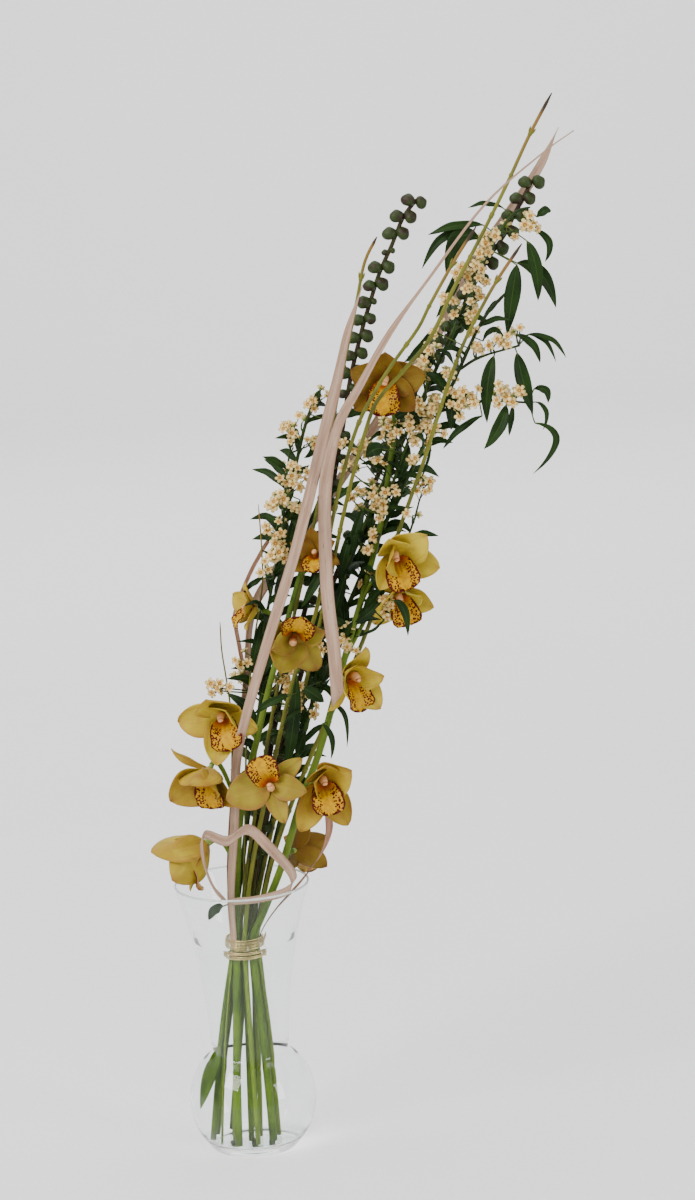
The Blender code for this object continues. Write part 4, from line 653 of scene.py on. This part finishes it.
finishes = {
    "golden": tepal_finish("tepal_golden", (0.54, 0.43, 0.036), (0.42, 0.305, 0.020), (0.31, 0.130, 0.026)),
    "amber": tepal_finish("tepal_amber", (0.40, 0.285, 0.022), (0.32, 0.19, 0.015), (0.23, 0.080, 0.020)),
    "olive": tepal_finish("tepal_olive", (0.30, 0.245, 0.024), (0.23, 0.165, 0.016), (0.26, 0.10, 0.034)),
    "bronze": tepal_finish("tepal_bronze", (0.205, 0.130, 0.010), (0.165, 0.088, 0.008),
                           (0.15, 0.048, 0.012)),
    "tepal_back": tepal_finish("tepal_outside", (0.42, 0.330, 0.026), (0.33, 0.225, 0.018),
                               (0.28, 0.105, 0.028)),
    "lip": lip_finish(),
    "lip_back": lip_back_finish(),
    "column": column_finish(),
    "cap": column_finish(),
    "cymbidium": stem_finish("stem_pale", (0.115, 0.170, 0.018), (0.055, 0.095, 0.010)),
    "fulgens": stem_finish("stem_dark", (0.036, 0.070, 0.012), (0.016, 0.030, 0.007), (0.045, 0.020, 0.012)),
    "pods": stem_finish("stem_maroon", (0.034, 0.034, 0.010), (0.026, 0.012, 0.009), (0.06, 0.03, 0.02)),
    "twig": twig_finish(),
    "leaf": leaf_finish("leaf_dark", (0.012, 0.033, 0.005), (0.006, 0.017, 0.003), (0.036, 0.068, 0.016)),
    "leaf_back": leaf_finish("leaf_under", (0.016, 0.038, 0.006), (0.009, 0.023, 0.005),
                             (0.038, 0.068, 0.017)),
    "floret": floret_finish(),
    "floret_green": stem_finish("floret_stalk", (0.085, 0.125, 0.018), (0.035, 0.055, 0.010)),
    "pod": pod_finish(),
    "strip": strip_finish("strip_straw", (0.44, 0.305, 0.220), (0.31, 0.185, 0.120), (0.16, 0.085, 0.052)),
    "strip_pink": strip_finish("strip_rose", (0.38, 0.21, 0.135), (0.27, 0.125, 0.075), (0.15, 0.065, 0.04)),
    "wire": wire_finish(),
    "glass": clear_finish("vase_clear", (0.970, 0.992, 0.982), 1.30),
    # The rim's whitish finish is a painted highlight
    "rim": rim_highlight_finish(),
    "water": clear_finish("water_clear", (0.985, 1.0, 0.992), 1.10),
    "stage": stage_finish(),
}


# Modelling

def welded(sides=0):
    """Welds the chosen piece where points meet and turns its faces outwards; sides spin it about Z first."""
    bpy.ops.object.mode_set(mode="EDIT")
    bpy.ops.mesh.select_all(action="SELECT")
    if sides:
        bpy.ops.mesh.spin(steps=sides, angle=math.tau, center=(0, 0, 0), axis=(0, 0, 1))
        bpy.ops.mesh.select_all(action="SELECT")
    bpy.ops.mesh.remove_doubles(threshold=WELD_REACH)
    bpy.ops.mesh.select_all(action="SELECT")
    bpy.ops.mesh.normals_make_consistent(inside=False)
    bpy.ops.object.mode_set(mode="OBJECT")


def blade(name, across, along, shape, skin, thickness=0.0, weld=False):
    """A primitive grid whose points go to shape(t, s): t from root to tip, s from -1 to 1 across."""
    nothing_selected()
    bpy.ops.mesh.primitive_grid_add(x_subdivisions=across, y_subdivisions=along, size=2.0)
    piece = bpy.context.object
    piece.name = name
    for vert in piece.data.vertices:
        vert.co = shape(0.5 + 0.5 * vert.co.y, vert.co.x)
    for finish in skin:
        piece.data.materials.append(finishes[finish])
    if weld:
        welded()
    if thickness:
        wall = piece.modifiers.new("wall", "SOLIDIFY")
        wall.thickness = thickness
        wall.offset = 0.0
        wall.material_offset = len(skin) - 1
        bpy.ops.object.modifier_apply(modifier="wall")
    bpy.ops.object.shade_smooth()
    return piece


def directions(path):
    """The direction of a path at each of its points."""
    end = len(path) - 1
    return [(path[min(i + 1, end)] - path[max(i - 1, 0)]).normalized() for i in range(end + 1)]


def rod(name, path, radii, skin, sides=10, squash=1.0):
    """A closed round rod along a path, from a grid that is rolled up and welded."""
    ways = directions(path)
    ways = [ways[0]] + ways + [ways[-1]]
    places = [path[0]] + list(path) + [path[-1]]
    sizes = [0.0] + list(radii) + [0.0]
    last = len(places) - 1
    sides_on = [ways[0].orthogonal().normalized()]
    for way in ways[1:]:
        side = sides_on[-1] - way * sides_on[-1].dot(way)
        sides_on.append(side.normalized())

    def shape(t, s):
        i = round(t * last)
        x = sides_on[i]
        y = ways[i].cross(x)
        turn = math.pi * s
        return places[i] + (x * math.cos(turn) + y * (math.sin(turn) * squash)) * sizes[i]
    return blade(name, sides, last, shape, [skin], weld=True)


def joined(name, pieces):
    """All the pieces as one object."""
    nothing_selected()
    for piece in pieces:
        piece.select_set(True)
    bpy.context.view_layer.objects.active = pieces[0]
    if len(pieces) > 1:
        bpy.ops.object.join()
    whole = bpy.context.object
    whole.name = name
    whole.data.name = name
    return whole


def copied(pattern, matrix):
    """A copy of the pattern, with its own mesh moved by the matrix."""
    copy = bpy.data.objects.new(pattern.name, pattern.data.copy())
    bpy.context.collection.objects.link(copy)
    copy.data.transform(matrix)
    return copy


def moved(piece, matrix):
    piece.data.transform(matrix)
    return piece


def fitted(piece, node):
    """The piece rides on the bouquet's one body and stands for its node, whose part is hidden."""
    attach(piece, "root")
    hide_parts(node)


def turned(name, profile, skin):
    """A profile of (radius, height) pairs turned about the upright axis."""
    nothing_selected()
    bpy.ops.mesh.primitive_circle_add(vertices=len(profile), radius=1.0, fill_type="NOTHING")
    piece = bpy.context.object
    piece.name = name
    for vert, (radius, height) in zip(piece.data.vertices, profile):
        vert.co = (radius, 0.0, height)
    welded(VASE_SIDES)
    piece.data.materials.append(finishes[skin])
    bpy.ops.object.shade_smooth_by_angle(angle=math.radians(40))
    return piece


# Glass, water and tie

def bulb_point(degrees, wall):
    reach = BULB_RADIUS - wall
    angle = math.radians(degrees)
    return (reach * math.cos(angle), BULB_HEIGHT + reach * math.sin(angle))


def vase_side(wall, lowest):
    """The vase's wall from its bulb up to its rim, moved inwards by the wall's thickness."""
    points = [bulb_point(degrees, wall) for degrees in range(lowest, 46, 6)]
    points.append((NECK[0] - wall, NECK[1]))
    points += [(radius - wall, height) for radius, height in FUNNEL]
    side = [(p.x, p.z) for p in smooth_path([(radius, 0.0, height) for radius, height in points], 5)]
    (low_r, low_h), (top_r, top_h) = side[-2:]
    for share in (0.80, 0.95):
        side.insert(-1, (low_r + (top_r - low_r) * share, low_h + (top_h - low_h) * share))
    return side


def make_vase():
    outside = vase_side(0.0, -41)
    inside = vase_side(GLASS_WALL, -33)
    rim = (FUNNEL[-1][0] - GLASS_WALL / 2, FUNNEL[-1][1] + RIM_BEAD)
    foot = [(0.0, 0.0006), (0.030, 0.0004), (0.038, 0.0), (FOOT_RADIUS, 0.0), (FOOT_RADIUS + 0.0035, 0.0012)]
    floor = [(inside[0][0] - 0.006, GLASS_FLOOR), (0.030, GLASS_FLOOR), (0.0, GLASS_FLOOR + 0.0012)]
    vase = turned("vase_of_glass", foot + outside + [rim] + inside[::-1] + floor, "glass")
    nothing_selected()
    # A whitish ring along the rim carries the painted highlight
    bpy.ops.mesh.primitive_torus_add(major_segments=VASE_SIDES, minor_segments=8, major_radius=rim[0],
                                     minor_radius=RIM_HIGHLIGHT_RING)
    ring = bpy.context.object
    ring.data.transform(Matrix.Translation((0.0, 0.0, rim[1] - RIM_HIGHLIGHT_RING * 0.5)))
    ring.data.materials.append(finishes["rim"])
    bpy.ops.object.shade_smooth()
    vase = joined("vase_of_glass", [vase, ring])
    vase.visible_shadow = False
    fitted(vase, "glass_vase")


def make_water():
    """Water up to its level, with the small rise where it meets the glass."""
    side = [point for point in vase_side(GLASS_WALL - 0.0001, -33) if point[1] < WATER_TOP - 0.002]
    edge = side[-1][0] + (WATER_TOP - side[-1][1]) * 0.18
    top = [(edge, WATER_TOP + 0.0010), (edge - 0.0012, WATER_TOP + 0.0003), (edge - 0.004, WATER_TOP),
           (0.0, WATER_TOP)]
    floor = [(0.0, GLASS_FLOOR + 0.0011), (0.030, GLASS_FLOOR - 0.0001),
             (side[0][0] - 0.006, GLASS_FLOOR - 0.0001)]
    water = turned("water_in_vase", floor + side + top, "water")
    water.visible_shadow = False
    fitted(water, "water")


def make_tie():
    """Wire wound round the stems in uneven turns, with its two ends twisted and bent out."""
    draws = random.Random(TIE_DRAWS)

    def winding(turns, height, reach, slope, start):
        path = []
        steps = turns * 20
        for i in range(steps + 1):
            turn = math.tau * i / 20 + start
            climb = (i / steps - 0.5) * height + slope * math.sin(turn + start)
            out = reach + 0.0004 * math.sin(turn * 1.7) + draws.uniform(0.0, 0.0002)
            path.append(polar(out, turn, TIE_MIDDLE + climb))
        return rod("tie_turns", path, [TIE_WIRE] * len(path), "wire", sides=8)
    pieces = [winding(TIE_TURNS, 0.0200, TIE_INNER, 0.0004, 0.0),
              winding(4, -0.0170, TIE_INNER + 0.0011, 0.0013, 0.9)]
    for swing in (-1, 1):
        end = []
        for k in range(16):
            lift = k / 15
            twist = swing * math.pi / 2 + lift * 7.0
            end.append(Vector((TIE_INNER + 0.0012 + 0.0020 * lift + 0.0006 * math.cos(twist),
                               0.0008 * math.sin(twist), TIE_MIDDLE + 0.002 + 0.010 * lift)))
        pieces.append(rod("tie_end", end, [TIE_WIRE] * len(end), "wire", sides=8))
    fitted(joined("tie_of_wire", pieces), "tie_wire")


# Stems

def stem_path(stem):
    """The stem from its cut foot in the vase, through the tie and up to its tip."""
    ring, angle = stem["ring"], stem["angle"]
    place = polar(ring, angle)
    low = place + Vector((0.0, 0.0, TIE_HEIGHT - TIE_REACH))
    high = place + Vector((0.0, 0.0, TIE_HEIGHT + TIE_REACH))
    foot = polar(ring * FAN_OUT, angle + FAN_TWIST, GLASS_FLOOR + 0.0016) + FOOT_SHIFT
    bow = place.normalized() * 0.0024
    below = [foot.lerp(low, k / 8) + bow * math.sin(math.pi * k / 8) for k in range(8)]
    return below + smooth_path((low, high) + stem["route"])


def stem_radius(stem, path, place):
    """Full size up to the tie, then tapering evenly to the tip."""
    rise = max(place.z - TIE_HEIGHT, 0.0) / (path[-1].z - TIE_HEIGHT)
    return stem["radius"] + (stem["tip"] - stem["radius"]) * rise ** 1.5


def at_height(path, height):
    for low, high in zip(path, path[1:]):
        if low.z <= height <= high.z:
            return low.lerp(high, (height - low.z) / (high.z - low.z))
    return path[-1].copy()


def pedicel_route(path, spec):
    """From the stem out and round to the back of the bloom."""
    facing = Vector(spec["facing"]).normalized()
    start = at_height(path, spec["leave"])
    end = spec["place"] - facing * COLUMN_BACK
    reach = (end - start).length
    first = start + (end - start).normalized() * 0.25 * reach + Vector((0.0, 0.0, 0.12 * reach))
    last = end - facing * 0.34 * reach
    route = []
    for i in range(11):
        t = i / 10
        route.append(start * (1 - t) ** 3 + first * 3 * t * (1 - t) ** 2
                     + last * 3 * t * t * (1 - t) + end * t ** 3)
    return route


def make_bud(name):
    """A slim pointed bud, built upright at the origin."""
    def shape(t, s):
        reach = BUD_SIZES[0] * math.sin(math.pi * min(0.18 + 0.82 * t, 1.0)) ** 0.8
        return polar(reach, math.pi * s, BUD_SIZES[1] * t)
    return blade(name, 8, 7, shape, ["twig"], weld=True)


def twig_extras(path, stem):
    """Swollen joints down from the tip, each with a pair of buds or the scars where leaves were."""
    pieces = []
    bud = make_bud("bud")
    for k, (place, way) in enumerate(at_steps(path[::-1], JOINT_STEP)):
        if place.z < 0.34:
            break
        way = -way
        radius = stem_radius(stem, path, place)
        ring = [place + way * reach for reach in (-0.0026, -0.0008, 0.0008, 0.0022)]
        pieces.append(rod("joint", ring, [radius * share for share in (0.9, 1.34, 1.22, 0.9)], "twig"))
        side = Matrix.Rotation(k * math.pi / 2, 3, way) @ way.cross(Vector((0.0, 1.0, 0.0))).normalized()
        scale = 0.85 if k < 2 else 0.45
        for swing in (-1, 1):
            bend = (way * 4.2 + side * swing).normalized()
            matrix = frame_at(place + side * swing * radius * 0.8, bend, side)
            pieces.append(copied(bud, matrix @ Matrix.Scale(scale, 4)))
    bpy.data.objects.remove(bud, do_unlink=True)
    return pieces


# Blooms

LIP_FORM = (
    (0.00, 0.0042, 2.5), (0.12, 0.0110, 2.9), (0.28, 0.0154, 2.5), (0.42, 0.0160, 1.8), (0.58, 0.0168, 1.1),
    (0.74, 0.0172, 0.80), (0.88, 0.0146, 0.60), (0.96, 0.0096, 0.50), (1.00, 0.0030, 0.40))
LIP_LENGTH = 0.037
LIP_STRAIGHT = 0.40
LIP_CURL = math.radians(62.0)
LIP_SLANT = math.radians(33.0)
COLUMN = ((0.0, -0.0008, -0.0080), (0.0, 0.0006, -0.0010), (0.0, 0.0032, 0.0060),
          (0.0, 0.0036, 0.0115), (0.0, 0.0012, 0.0158))
COLUMN_SIZES = (0.0024, 0.0038, 0.0036, 0.0042, 0.0034)
CAP_PLACE = Vector((0.0, 0.0004, 0.0165))
CAP_SIZE = 0.0027


def tepal_shape(angle, rise, bend, form, long, wide, draws):
    """A broad pointed petal: it leaves at an angle, rises towards the viewer and bends on its way."""
    out = polar(1.0, angle)
    side = Vector((math.sin(angle), -math.cos(angle), 0.0))
    length, width = form["length"] * long, form["width"] * wide
    bend = bend if abs(bend) > 0.01 else 0.01
    phase = draws.uniform(0.0, math.tau)
    wave = draws.uniform(0.0005, 0.0012)
    lean = draws.uniform(-0.06, 0.06)

    def shape(t, s):
        turn = rise + bend * t
        reach = length * (math.sin(turn) - math.sin(rise)) / bend
        lift = length * (math.cos(rise) - math.cos(turn)) / bend
        half = 0.5 * width * max(math.sin(math.pi * min(t, 1.0) ** 0.86), 0.0) ** 0.58
        half = max(half, 0.0026 * (1.0 - t) + 0.0002)
        hollow = form["cup"] * half * s * s + wave * math.sin(8.0 * t + phase + 2.0 * s) * s * s
        hollow -= 0.0006 * math.exp(-(s * 5.0) ** 2) + 0.0030 * t ** 7
        ahead = out * (TEPAL_ROOT + reach - hollow * math.sin(turn))
        rising = Vector((0.0, 0.0, form["start"] + lift + hollow * math.cos(turn)))
        return ahead + side * (half * s + lean * length * t * t) + rising
    return shape


def lip_shape(size, draws):
    """The lip runs forwards as a trough round the column, then broadens into a fan that turns down."""
    length = LIP_LENGTH * size
    radius = (1.0 - LIP_STRAIGHT) * length / LIP_CURL
    phase = draws.uniform(0.0, math.tau)

    def shape(t, s):
        half, wrap = blend_keys(LIP_FORM, t)
        half *= size
        slope = LIP_SLANT + LIP_CURL * max(t - LIP_STRAIGHT, 0.0) / (1.0 - LIP_STRAIGHT)
        straight = min(t, LIP_STRAIGHT) * length
        ahead = straight * math.cos(LIP_SLANT) + radius * (math.sin(slope) - math.sin(LIP_SLANT))
        down = straight * math.sin(LIP_SLANT) + radius * (math.cos(LIP_SLANT) - math.cos(slope))
        bow = half * 2.0 / wrap
        turn = s * wrap / 2
        over = bow * (1.0 - math.cos(turn))
        frill = 0.0012 * size * math.sin(17.0 * t + phase) * s ** 4 * min(max(t - 0.35, 0.0) * 4.0, 1.0)
        frill += 0.0012 * size * math.sin(11.0 * s + phase) * max(t - 0.75, 0.0) * 4.0
        keel = 0.0
        if 0.15 < t < 0.65:
            ridge = math.exp(-((abs(s) - 0.13) * 14.0) ** 2)
            keel = 0.0018 * size * ridge * math.sin(math.pi * (t - 0.15) / 0.5)
        lifted = over + frill + keel
        return Vector((-bow * math.sin(turn), -0.0032 * size - down + lifted * math.cos(slope),
                       0.0010 + ahead + lifted * math.sin(slope)))
    return shape


def make_bloom(name, spec, index):
    """Sepals, petals, lip, column and its cap."""
    draws = random.Random(BLOOM_DRAWS + index)
    size = spec["size"]
    matrix = frame_at(spec["place"], spec["facing"], spec["up"])
    skins = (spec["skin"], OUTSIDES[spec["skin"]])
    tepals = []
    for kind, (degrees, rise, bend, long, wide) in zip(TEPALS, spec["tepals"]):
        form = SEPAL if kind == "sepal" else PETAL
        turns = [math.radians(a) for a in (degrees + draws.uniform(-3.0, 3.0), rise, bend)]
        shape = tepal_shape(*turns, form, long * size, wide * size, draws)
        tepals.append(blade(kind, 16, 24, shape, skins, TEPAL_THICKNESS))
    petals = moved(joined(name + "_tepals", tepals), matrix)
    lip = blade(name + "_lip", 28, 38, lip_shape(size, draws), ["lip", "lip_back"], TEPAL_THICKNESS)
    lip = moved(lip, matrix)
    path = smooth_path([Vector(p) * size for p in COLUMN])
    sizes = [p.x * size for p in smooth_path([(r, 0.0, 0.0) for r in COLUMN_SIZES])]
    column = rod("column", path, sizes, "column", sides=14, squash=0.9)
    nothing_selected()
    bpy.ops.mesh.primitive_uv_sphere_add(segments=14, ring_count=8, radius=CAP_SIZE * size)
    cap = bpy.context.object
    cap.data.materials.append(finishes["cap"])
    cap.data.transform(Matrix.Translation(CAP_PLACE * size) @ Matrix.Diagonal((1.15, 0.8, 0.9, 1.0)))
    bpy.ops.object.shade_smooth()
    column = moved(joined(name + "_column", [column, cap]), matrix)
    for piece in (petals, lip, column):
        fitted(piece, name)


# What grows on the stems

def make_floret():
    """One floret at the origin, looking along Z: five round petals in front and a small green cup behind."""
    rings = ((0.0, -0.0011), (0.45, 0.0000), (1.0, 0.0012), (0.0, -0.0026))

    def shape(t, s):
        turn = math.pi * s
        spread, rise = rings[round(t * 3)]
        petal = abs(math.cos(2.5 * turn)) ** 0.7
        outline = 0.54 + 0.46 * petal if spread == 1.0 else 0.9 + 0.1 * petal
        return polar(FLORET_SIZE * spread * outline, -turn, rise - 0.0007 * petal * spread)
    return blade("floret", 20, 3, shape, ["floret"], weld=True)


def make_florets(name, path, pattern):
    """The clusters that the picture shows on this stem, and some behind it, each on its own branchlet."""
    draws = random.Random(FLORET_DRAWS + len(name))
    florets, stalks = [], []
    upright = [Vector((0.0, 0.0, k / 2)) for k in range(3)]
    plain = rod("stalk", upright, [0.0005, 0.0004, 0.0007], "floret_green", sides=5)
    for px, py, count in CLUSTERS[name]:
        guess = nearest_on(path, in_picture(px, py, 0.0))
        for side in (-1.0, 1.0):
            middle = in_picture(px, py, guess.y - 0.020)
            number = count
            if side > 0:
                middle = Vector((middle.x * 0.5 + guess.x * 0.5, guess.y + 0.017, middle.z))
                number = max(count // 2, 1)
            root = nearest_on(path, middle + Vector((0.0, 0.0, -0.014)))
            core = middle.lerp(root, min(0.0080 / max((middle - root).length, 0.001), 0.6))
            arm = (core - root).cross(Vector((0.0, 0.0, 1.0))) * draws.uniform(-0.15, 0.15)
            stalks.append(rod("branchlet", smooth_path([root, root.lerp(core, 0.5) + arm, core], 3),
                              [0.0010] * 3 + [0.0008] * 4, "fulgens", sides=6))
            for k in range(number):
                spread = Vector((draws.uniform(-1, 1), draws.uniform(-0.8, 0.8), draws.uniform(-1, 1)))
                spot = middle + spread * CLUSTER_SPREAD
                swing = Vector((draws.uniform(-0.7, 0.7), side * 0.7, draws.uniform(-0.4, 0.6)))
                facing = ((spot - core).normalized() + swing).normalized()
                matrix = frame_at(spot, facing, Vector((draws.uniform(-1, 1), 0.3, 1.0)))
                florets.append(copied(pattern, matrix @ Matrix.Scale(draws.uniform(0.72, 1.12), 4)))
                neck = spot - facing * 0.0024
                way = neck - core
                turn = way.to_track_quat("Z", "Y").to_matrix().to_4x4()
                drawn = Matrix.Diagonal((1.0, 1.0, way.length, 1.0))
                stalks.append(copied(plain, Matrix.Translation(core) @ turn @ drawn))
    bpy.data.objects.remove(plain, do_unlink=True)
    return joined(name + "_florets", florets), stalks


def leaf_blade(root, middle, tip, width, draws, skin=("leaf", "leaf_back"), cuts=(6, 16)):
    """A willow-shaped leaf on a curve from root to tip, folded along its middle rib."""
    facing = Vector((draws.uniform(-0.35, 0.35), -1.0, draws.uniform(-0.1, 0.6))).normalized()

    def shape(t, s):
        place = root * (1 - t) ** 2 + middle * 2 * t * (1 - t) + tip * t * t
        course = (middle - root) * (1 - t) + (tip - middle) * t
        across = course.cross(facing).normalized()
        half = 0.5 * width * max(math.sin(math.pi * t ** 0.85), 0.0) ** 0.85
        half = max(half, 0.0006 if t < 0.5 else 0.0001)
        keel = across.cross(course).normalized() * (0.30 * half * abs(s) ** 1.3)
        ripple = Vector((0.0, 0.0, 0.0004 * math.sin(13.0 * t) * s * s))
        return place + across * (half * s) + keel + ripple
    return blade("leaf", *cuts, shape, skin, 0.0004)


def leaves_for(name, paths, path, draws):
    """The leaves that the picture shows on this stem, and more by rule all round it."""
    pieces = []
    for depth, width, *at in LEAVES.get(name, ()):
        depth = depth / 1000
        root, tip = in_picture(*at[:2], depth), in_picture(*at[4:], depth)
        middle = in_picture(*at[2:4], depth - 0.006)
        middle = middle + (middle - root.lerp(tip, 0.5)) * 0.6
        base = nearest_on(path, root)
        course = smooth_path([base, base.lerp(root, 0.6), root, root.lerp(middle, 0.12)], 2)
        stalk = rod("leaf_stalk", course, [0.0007] * 7, "floret_green", sides=6)
        pieces += [stalk, leaf_blade(root, middle, tip, width * LEAF_PIXEL, draws)]
    if name.startswith("fulgens"):
        for order, route in enumerate(paths):
            for k, (place, way) in enumerate(at_steps(route, LEAF_STEP)):
                low = 0.36 < place.z < 0.62
                if not (low or 0.62 <= place.z < (0.84 if order == 0 else 0.74) and k % 4):
                    continue
                turn = draws.uniform(0.0, math.tau)
                out = Vector((math.cos(turn) * 0.7, math.sin(turn), 0.0)).normalized()
                length = draws.uniform(0.026, 0.044) * (1.15 if low else 1.0)
                course = (out + way * draws.uniform(0.8, 2.2) * (1.6 if low else 1.0)).normalized()
                middle = place + course * length * 0.55
                droop = Vector((0.0, 0.0, draws.uniform(0.0, 0.9)))
                tip = place + (course + out * 0.3 - droop).normalized() * length
                tip.y = min(tip.y, cad_box[1][1] - 0.002)
                width = draws.uniform(0.006, 0.011) if low else draws.uniform(0.005, 0.009)
                pieces.append(leaf_blade(place, middle, tip, width, draws, cuts=(4, 9)))
    return pieces


def make_pod():
    """A round pod of three swollen lobes with a small pointed beak."""
    nothing_selected()
    bpy.ops.mesh.primitive_uv_sphere_add(segments=18, ring_count=10, radius=1.0)
    pod = bpy.context.object
    for vert in pod.data.vertices:
        turn = math.atan2(vert.co.y, vert.co.x)
        ring = math.hypot(vert.co.x, vert.co.y)
        swell = 0.96 + 0.20 * (abs(math.cos(1.5 * turn)) - 0.5) * ring
        beak = 0.20 * max(vert.co.z - 0.90, 0.0) / 0.10
        vert.co = (vert.co.x * swell, vert.co.y * swell, vert.co.z * (0.88 - 0.12 * (1.0 - ring)) + beak)
    pod.data.materials.append(finishes["pod"])
    bpy.ops.object.shade_smooth()
    return pod


def pods_for(name, path, draws, pattern):
    """Pods sit in pairs on both sides of the stem, close together at the tip and further apart below."""
    pieces = []
    reach = 0.003
    swing = -1.0
    for k, (place, way) in enumerate(at_steps(path[::-1], POD_STEP)):
        if place.z < 0.300 or k * POD_STEP < reach:
            continue
        close = reach < 0.190 and name != "pods_low"
        swing = -swing
        step = 0.0055 if swing > 0 else 0.0125
        reach += step if close else step * 1.35
        size = POD_SIZE * draws.uniform(0.90, 1.06) * (1.0 if close else 0.80)
        if name == "pods_left" and len(pieces) in UNDEVELOPED:
            size *= 0.5
        side = way.cross(Vector((0.0, 1.0, 0.0))).normalized()
        out = (side * swing + Vector((0.0, draws.uniform(-0.35, 0.35), 0.0)) - way * 0.30).normalized()
        middle = place + out * size * 0.86
        matrix = frame_at(middle, out * 0.8 - way, Vector((draws.uniform(-1, 1), 0.2, 1.0)))
        pieces.append(copied(pattern, matrix @ Matrix.Scale(size, 4)))
    return pieces


def ribbon(name, spec, skin):
    """A flat dried strip, slightly hollow across, that bends smoothly along its route."""
    places = smooth_path(spec["places"], 6)
    ways = directions(places)
    acrosses = [across.normalized() for across in smooth_path(spec["across"], 6)]
    last = len(places) - 1

    def shape(t, s):
        i = round(t * last)
        half = 0.5 * spec["width"] * blend_keys(spec["form"], t)[0]
        hollow = acrosses[i].cross(ways[i]).normalized() * (0.12 * half * (1.0 - s * s))
        slant = ways[i] * (-spec["cut"] * s * max(t - 0.96, 0.0) / 0.04)
        return places[i] + acrosses[i] * (half * s) + hollow + slant
    return blade(name, 6, last, shape, [skin], STRIP_THICKNESS)


def make_strip(name, spec):
    pieces = [ribbon(name, spec, "strip_pink" if name == "strip_right" else "strip")]
    if name == "strip_pointed":
        pieces.append(ribbon("split", STRIP_SPLIT, "strip_pink"))
    fitted(joined(name + "_fibre", pieces), name)


def make_stems():
    pod = make_pod()
    floret = make_floret()
    for index, (name, stem) in enumerate(STEMS.items()):
        draws = random.Random(STEM_DRAWS + index)
        kind = name.split("_")[0]
        path = stem_path(stem)
        radii = [stem_radius(stem, path, place) for place in path]
        radii[-1] *= 0.35
        pieces = [rod(name + "_rod", path, radii, kind, sides=12)]
        routes = [path]
        for shoot in SIDE_SHOOTS.get(name, ()):
            shoot = smooth_path(shoot)
            routes.append(shoot)
            pieces.append(rod("shoot", shoot, [0.0015] * (len(shoot) - 4) + [0.0011] * 4, "fulgens"))
        if kind == "cymbidium":
            for spec in BLOOMS.values():
                if spec["stem"] == name:
                    route = pedicel_route(path, spec)
                    radii = [PEDICEL_RADIUS * (0.95 + 0.045 * i) for i in range(len(route))]
                    pieces.append(rod("pedicel", route, radii, "cymbidium"))
        spots = [place for route in routes for place, way in at_steps(route, BRANCH_STEP)]
        if kind == "pods":
            fitted(joined(name + "_seeds", pods_for(name, path, draws, pod)), name)
        if kind == "twig" and "thin" not in name:
            pieces += twig_extras(path, stem)
        if kind == "fulgens":
            florets, stalks = make_florets(name, spots, floret)
            pieces += stalks
            fitted(florets, name)
        leaves = leaves_for(name, routes, spots, draws)
        if name == "cymbidium_left":
            leaves.append(leaf_blade(*FOOT_LEAF, 0.015, draws, ("cymbidium", "cymbidium")))
        if leaves:
            fitted(joined(name + "_leaves", leaves), name)
        fitted(joined(name + "_stem", pieces), name)
    for pattern in (pod, floret):
        bpy.data.objects.remove(pattern, do_unlink=True)


# Stage, light and camera

def make_stage():
    """A wide pale floor that curves up into a far wall, with room to walk all round the vase."""
    near, length, half = FLOOR_REACH

    def shape(t, s):
        reach = near + length * t
        wall = max(reach - WALL_START, 0.0)
        bend = min(wall / WALL_CURVE, math.pi / 2)
        y = min(reach, WALL_START) + WALL_CURVE * math.sin(bend)
        z = WALL_CURVE * (1.0 - math.cos(bend)) + max(wall - WALL_CURVE * math.pi / 2, 0.0)
        return Vector((s * half, y, z))
    floor = blade("studio_sweep", 8, 110, shape, ["stage"])


def add_light(name, place, target, size, power, colour):
    nothing_selected()
    bpy.ops.object.light_add(type="AREA", location=place)
    lamp = bpy.context.object
    lamp.name = name
    lamp.rotation_euler = (Vector(target) - Vector(place)).to_track_quat("-Z", "Y").to_euler()
    lamp.data.shape = "RECTANGLE"
    lamp.data.size, lamp.data.size_y = size
    lamp.data.energy = power
    lamp.data.color = colour


def make_camera():
    nothing_selected()
    bpy.ops.object.camera_add(location=CAMERA_PLACE)
    camera = bpy.context.object
    turn = Matrix.Rotation(math.pi / 2 - CAMERA_PITCH, 3, "X") @ Matrix.Rotation(-CAMERA_ROLL, 3, "Z")
    camera.rotation_euler = turn.to_euler()
    camera.data.sensor_fit = "VERTICAL"
    camera.data.sensor_height = SENSOR_HEIGHT
    camera.data.lens = FOCAL_PIXELS / PICTURE[1] * SENSOR_HEIGHT
    camera.data.clip_end = 40.0
    bpy.context.scene.camera = camera


def make_light():
    world = bpy.data.worlds.new("studio_air")
    world.use_nodes = True
    world.node_tree.nodes["Background"].inputs[0].default_value = (1.0, 1.0, 1.0, 1.0)
    world.node_tree.nodes["Background"].inputs[1].default_value = 0.755
    bpy.context.scene.world = world
    add_light("window_left", (-2.6, -2.6, 3.2), (0.1, 0.0, 0.6), (2.4, 2.0), 230.0, (1.0, 0.985, 0.96))
    add_light("fill_right", (2.9, -1.9, 1.3), (0.1, 0.0, 0.4), (0.9, 1.8), 50.0, (0.98, 0.98, 1.0))
    add_light("wall_wash", (0.0, 3.6, 5.0), (0.0, 7.6, 0.4), (5.0, 2.0), 330.0, (1.0, 1.0, 1.0))
    add_light("top_soft", (0.1, 0.3, 3.4), (0.1, 0.4, 0.0), (3.0, 1.6), 46.0, (1.0, 1.0, 1.0))


make_stage()
make_light()
make_camera()
make_vase()
make_water()
make_tie()
make_stems()
for order, (bloom_name, bloom_spec) in enumerate(BLOOMS.items()):
    make_bloom(bloom_name, bloom_spec, order)
for strip_name, strip_spec in STRIPS.items():
    make_strip(strip_name, strip_spec)

nothing_selected()
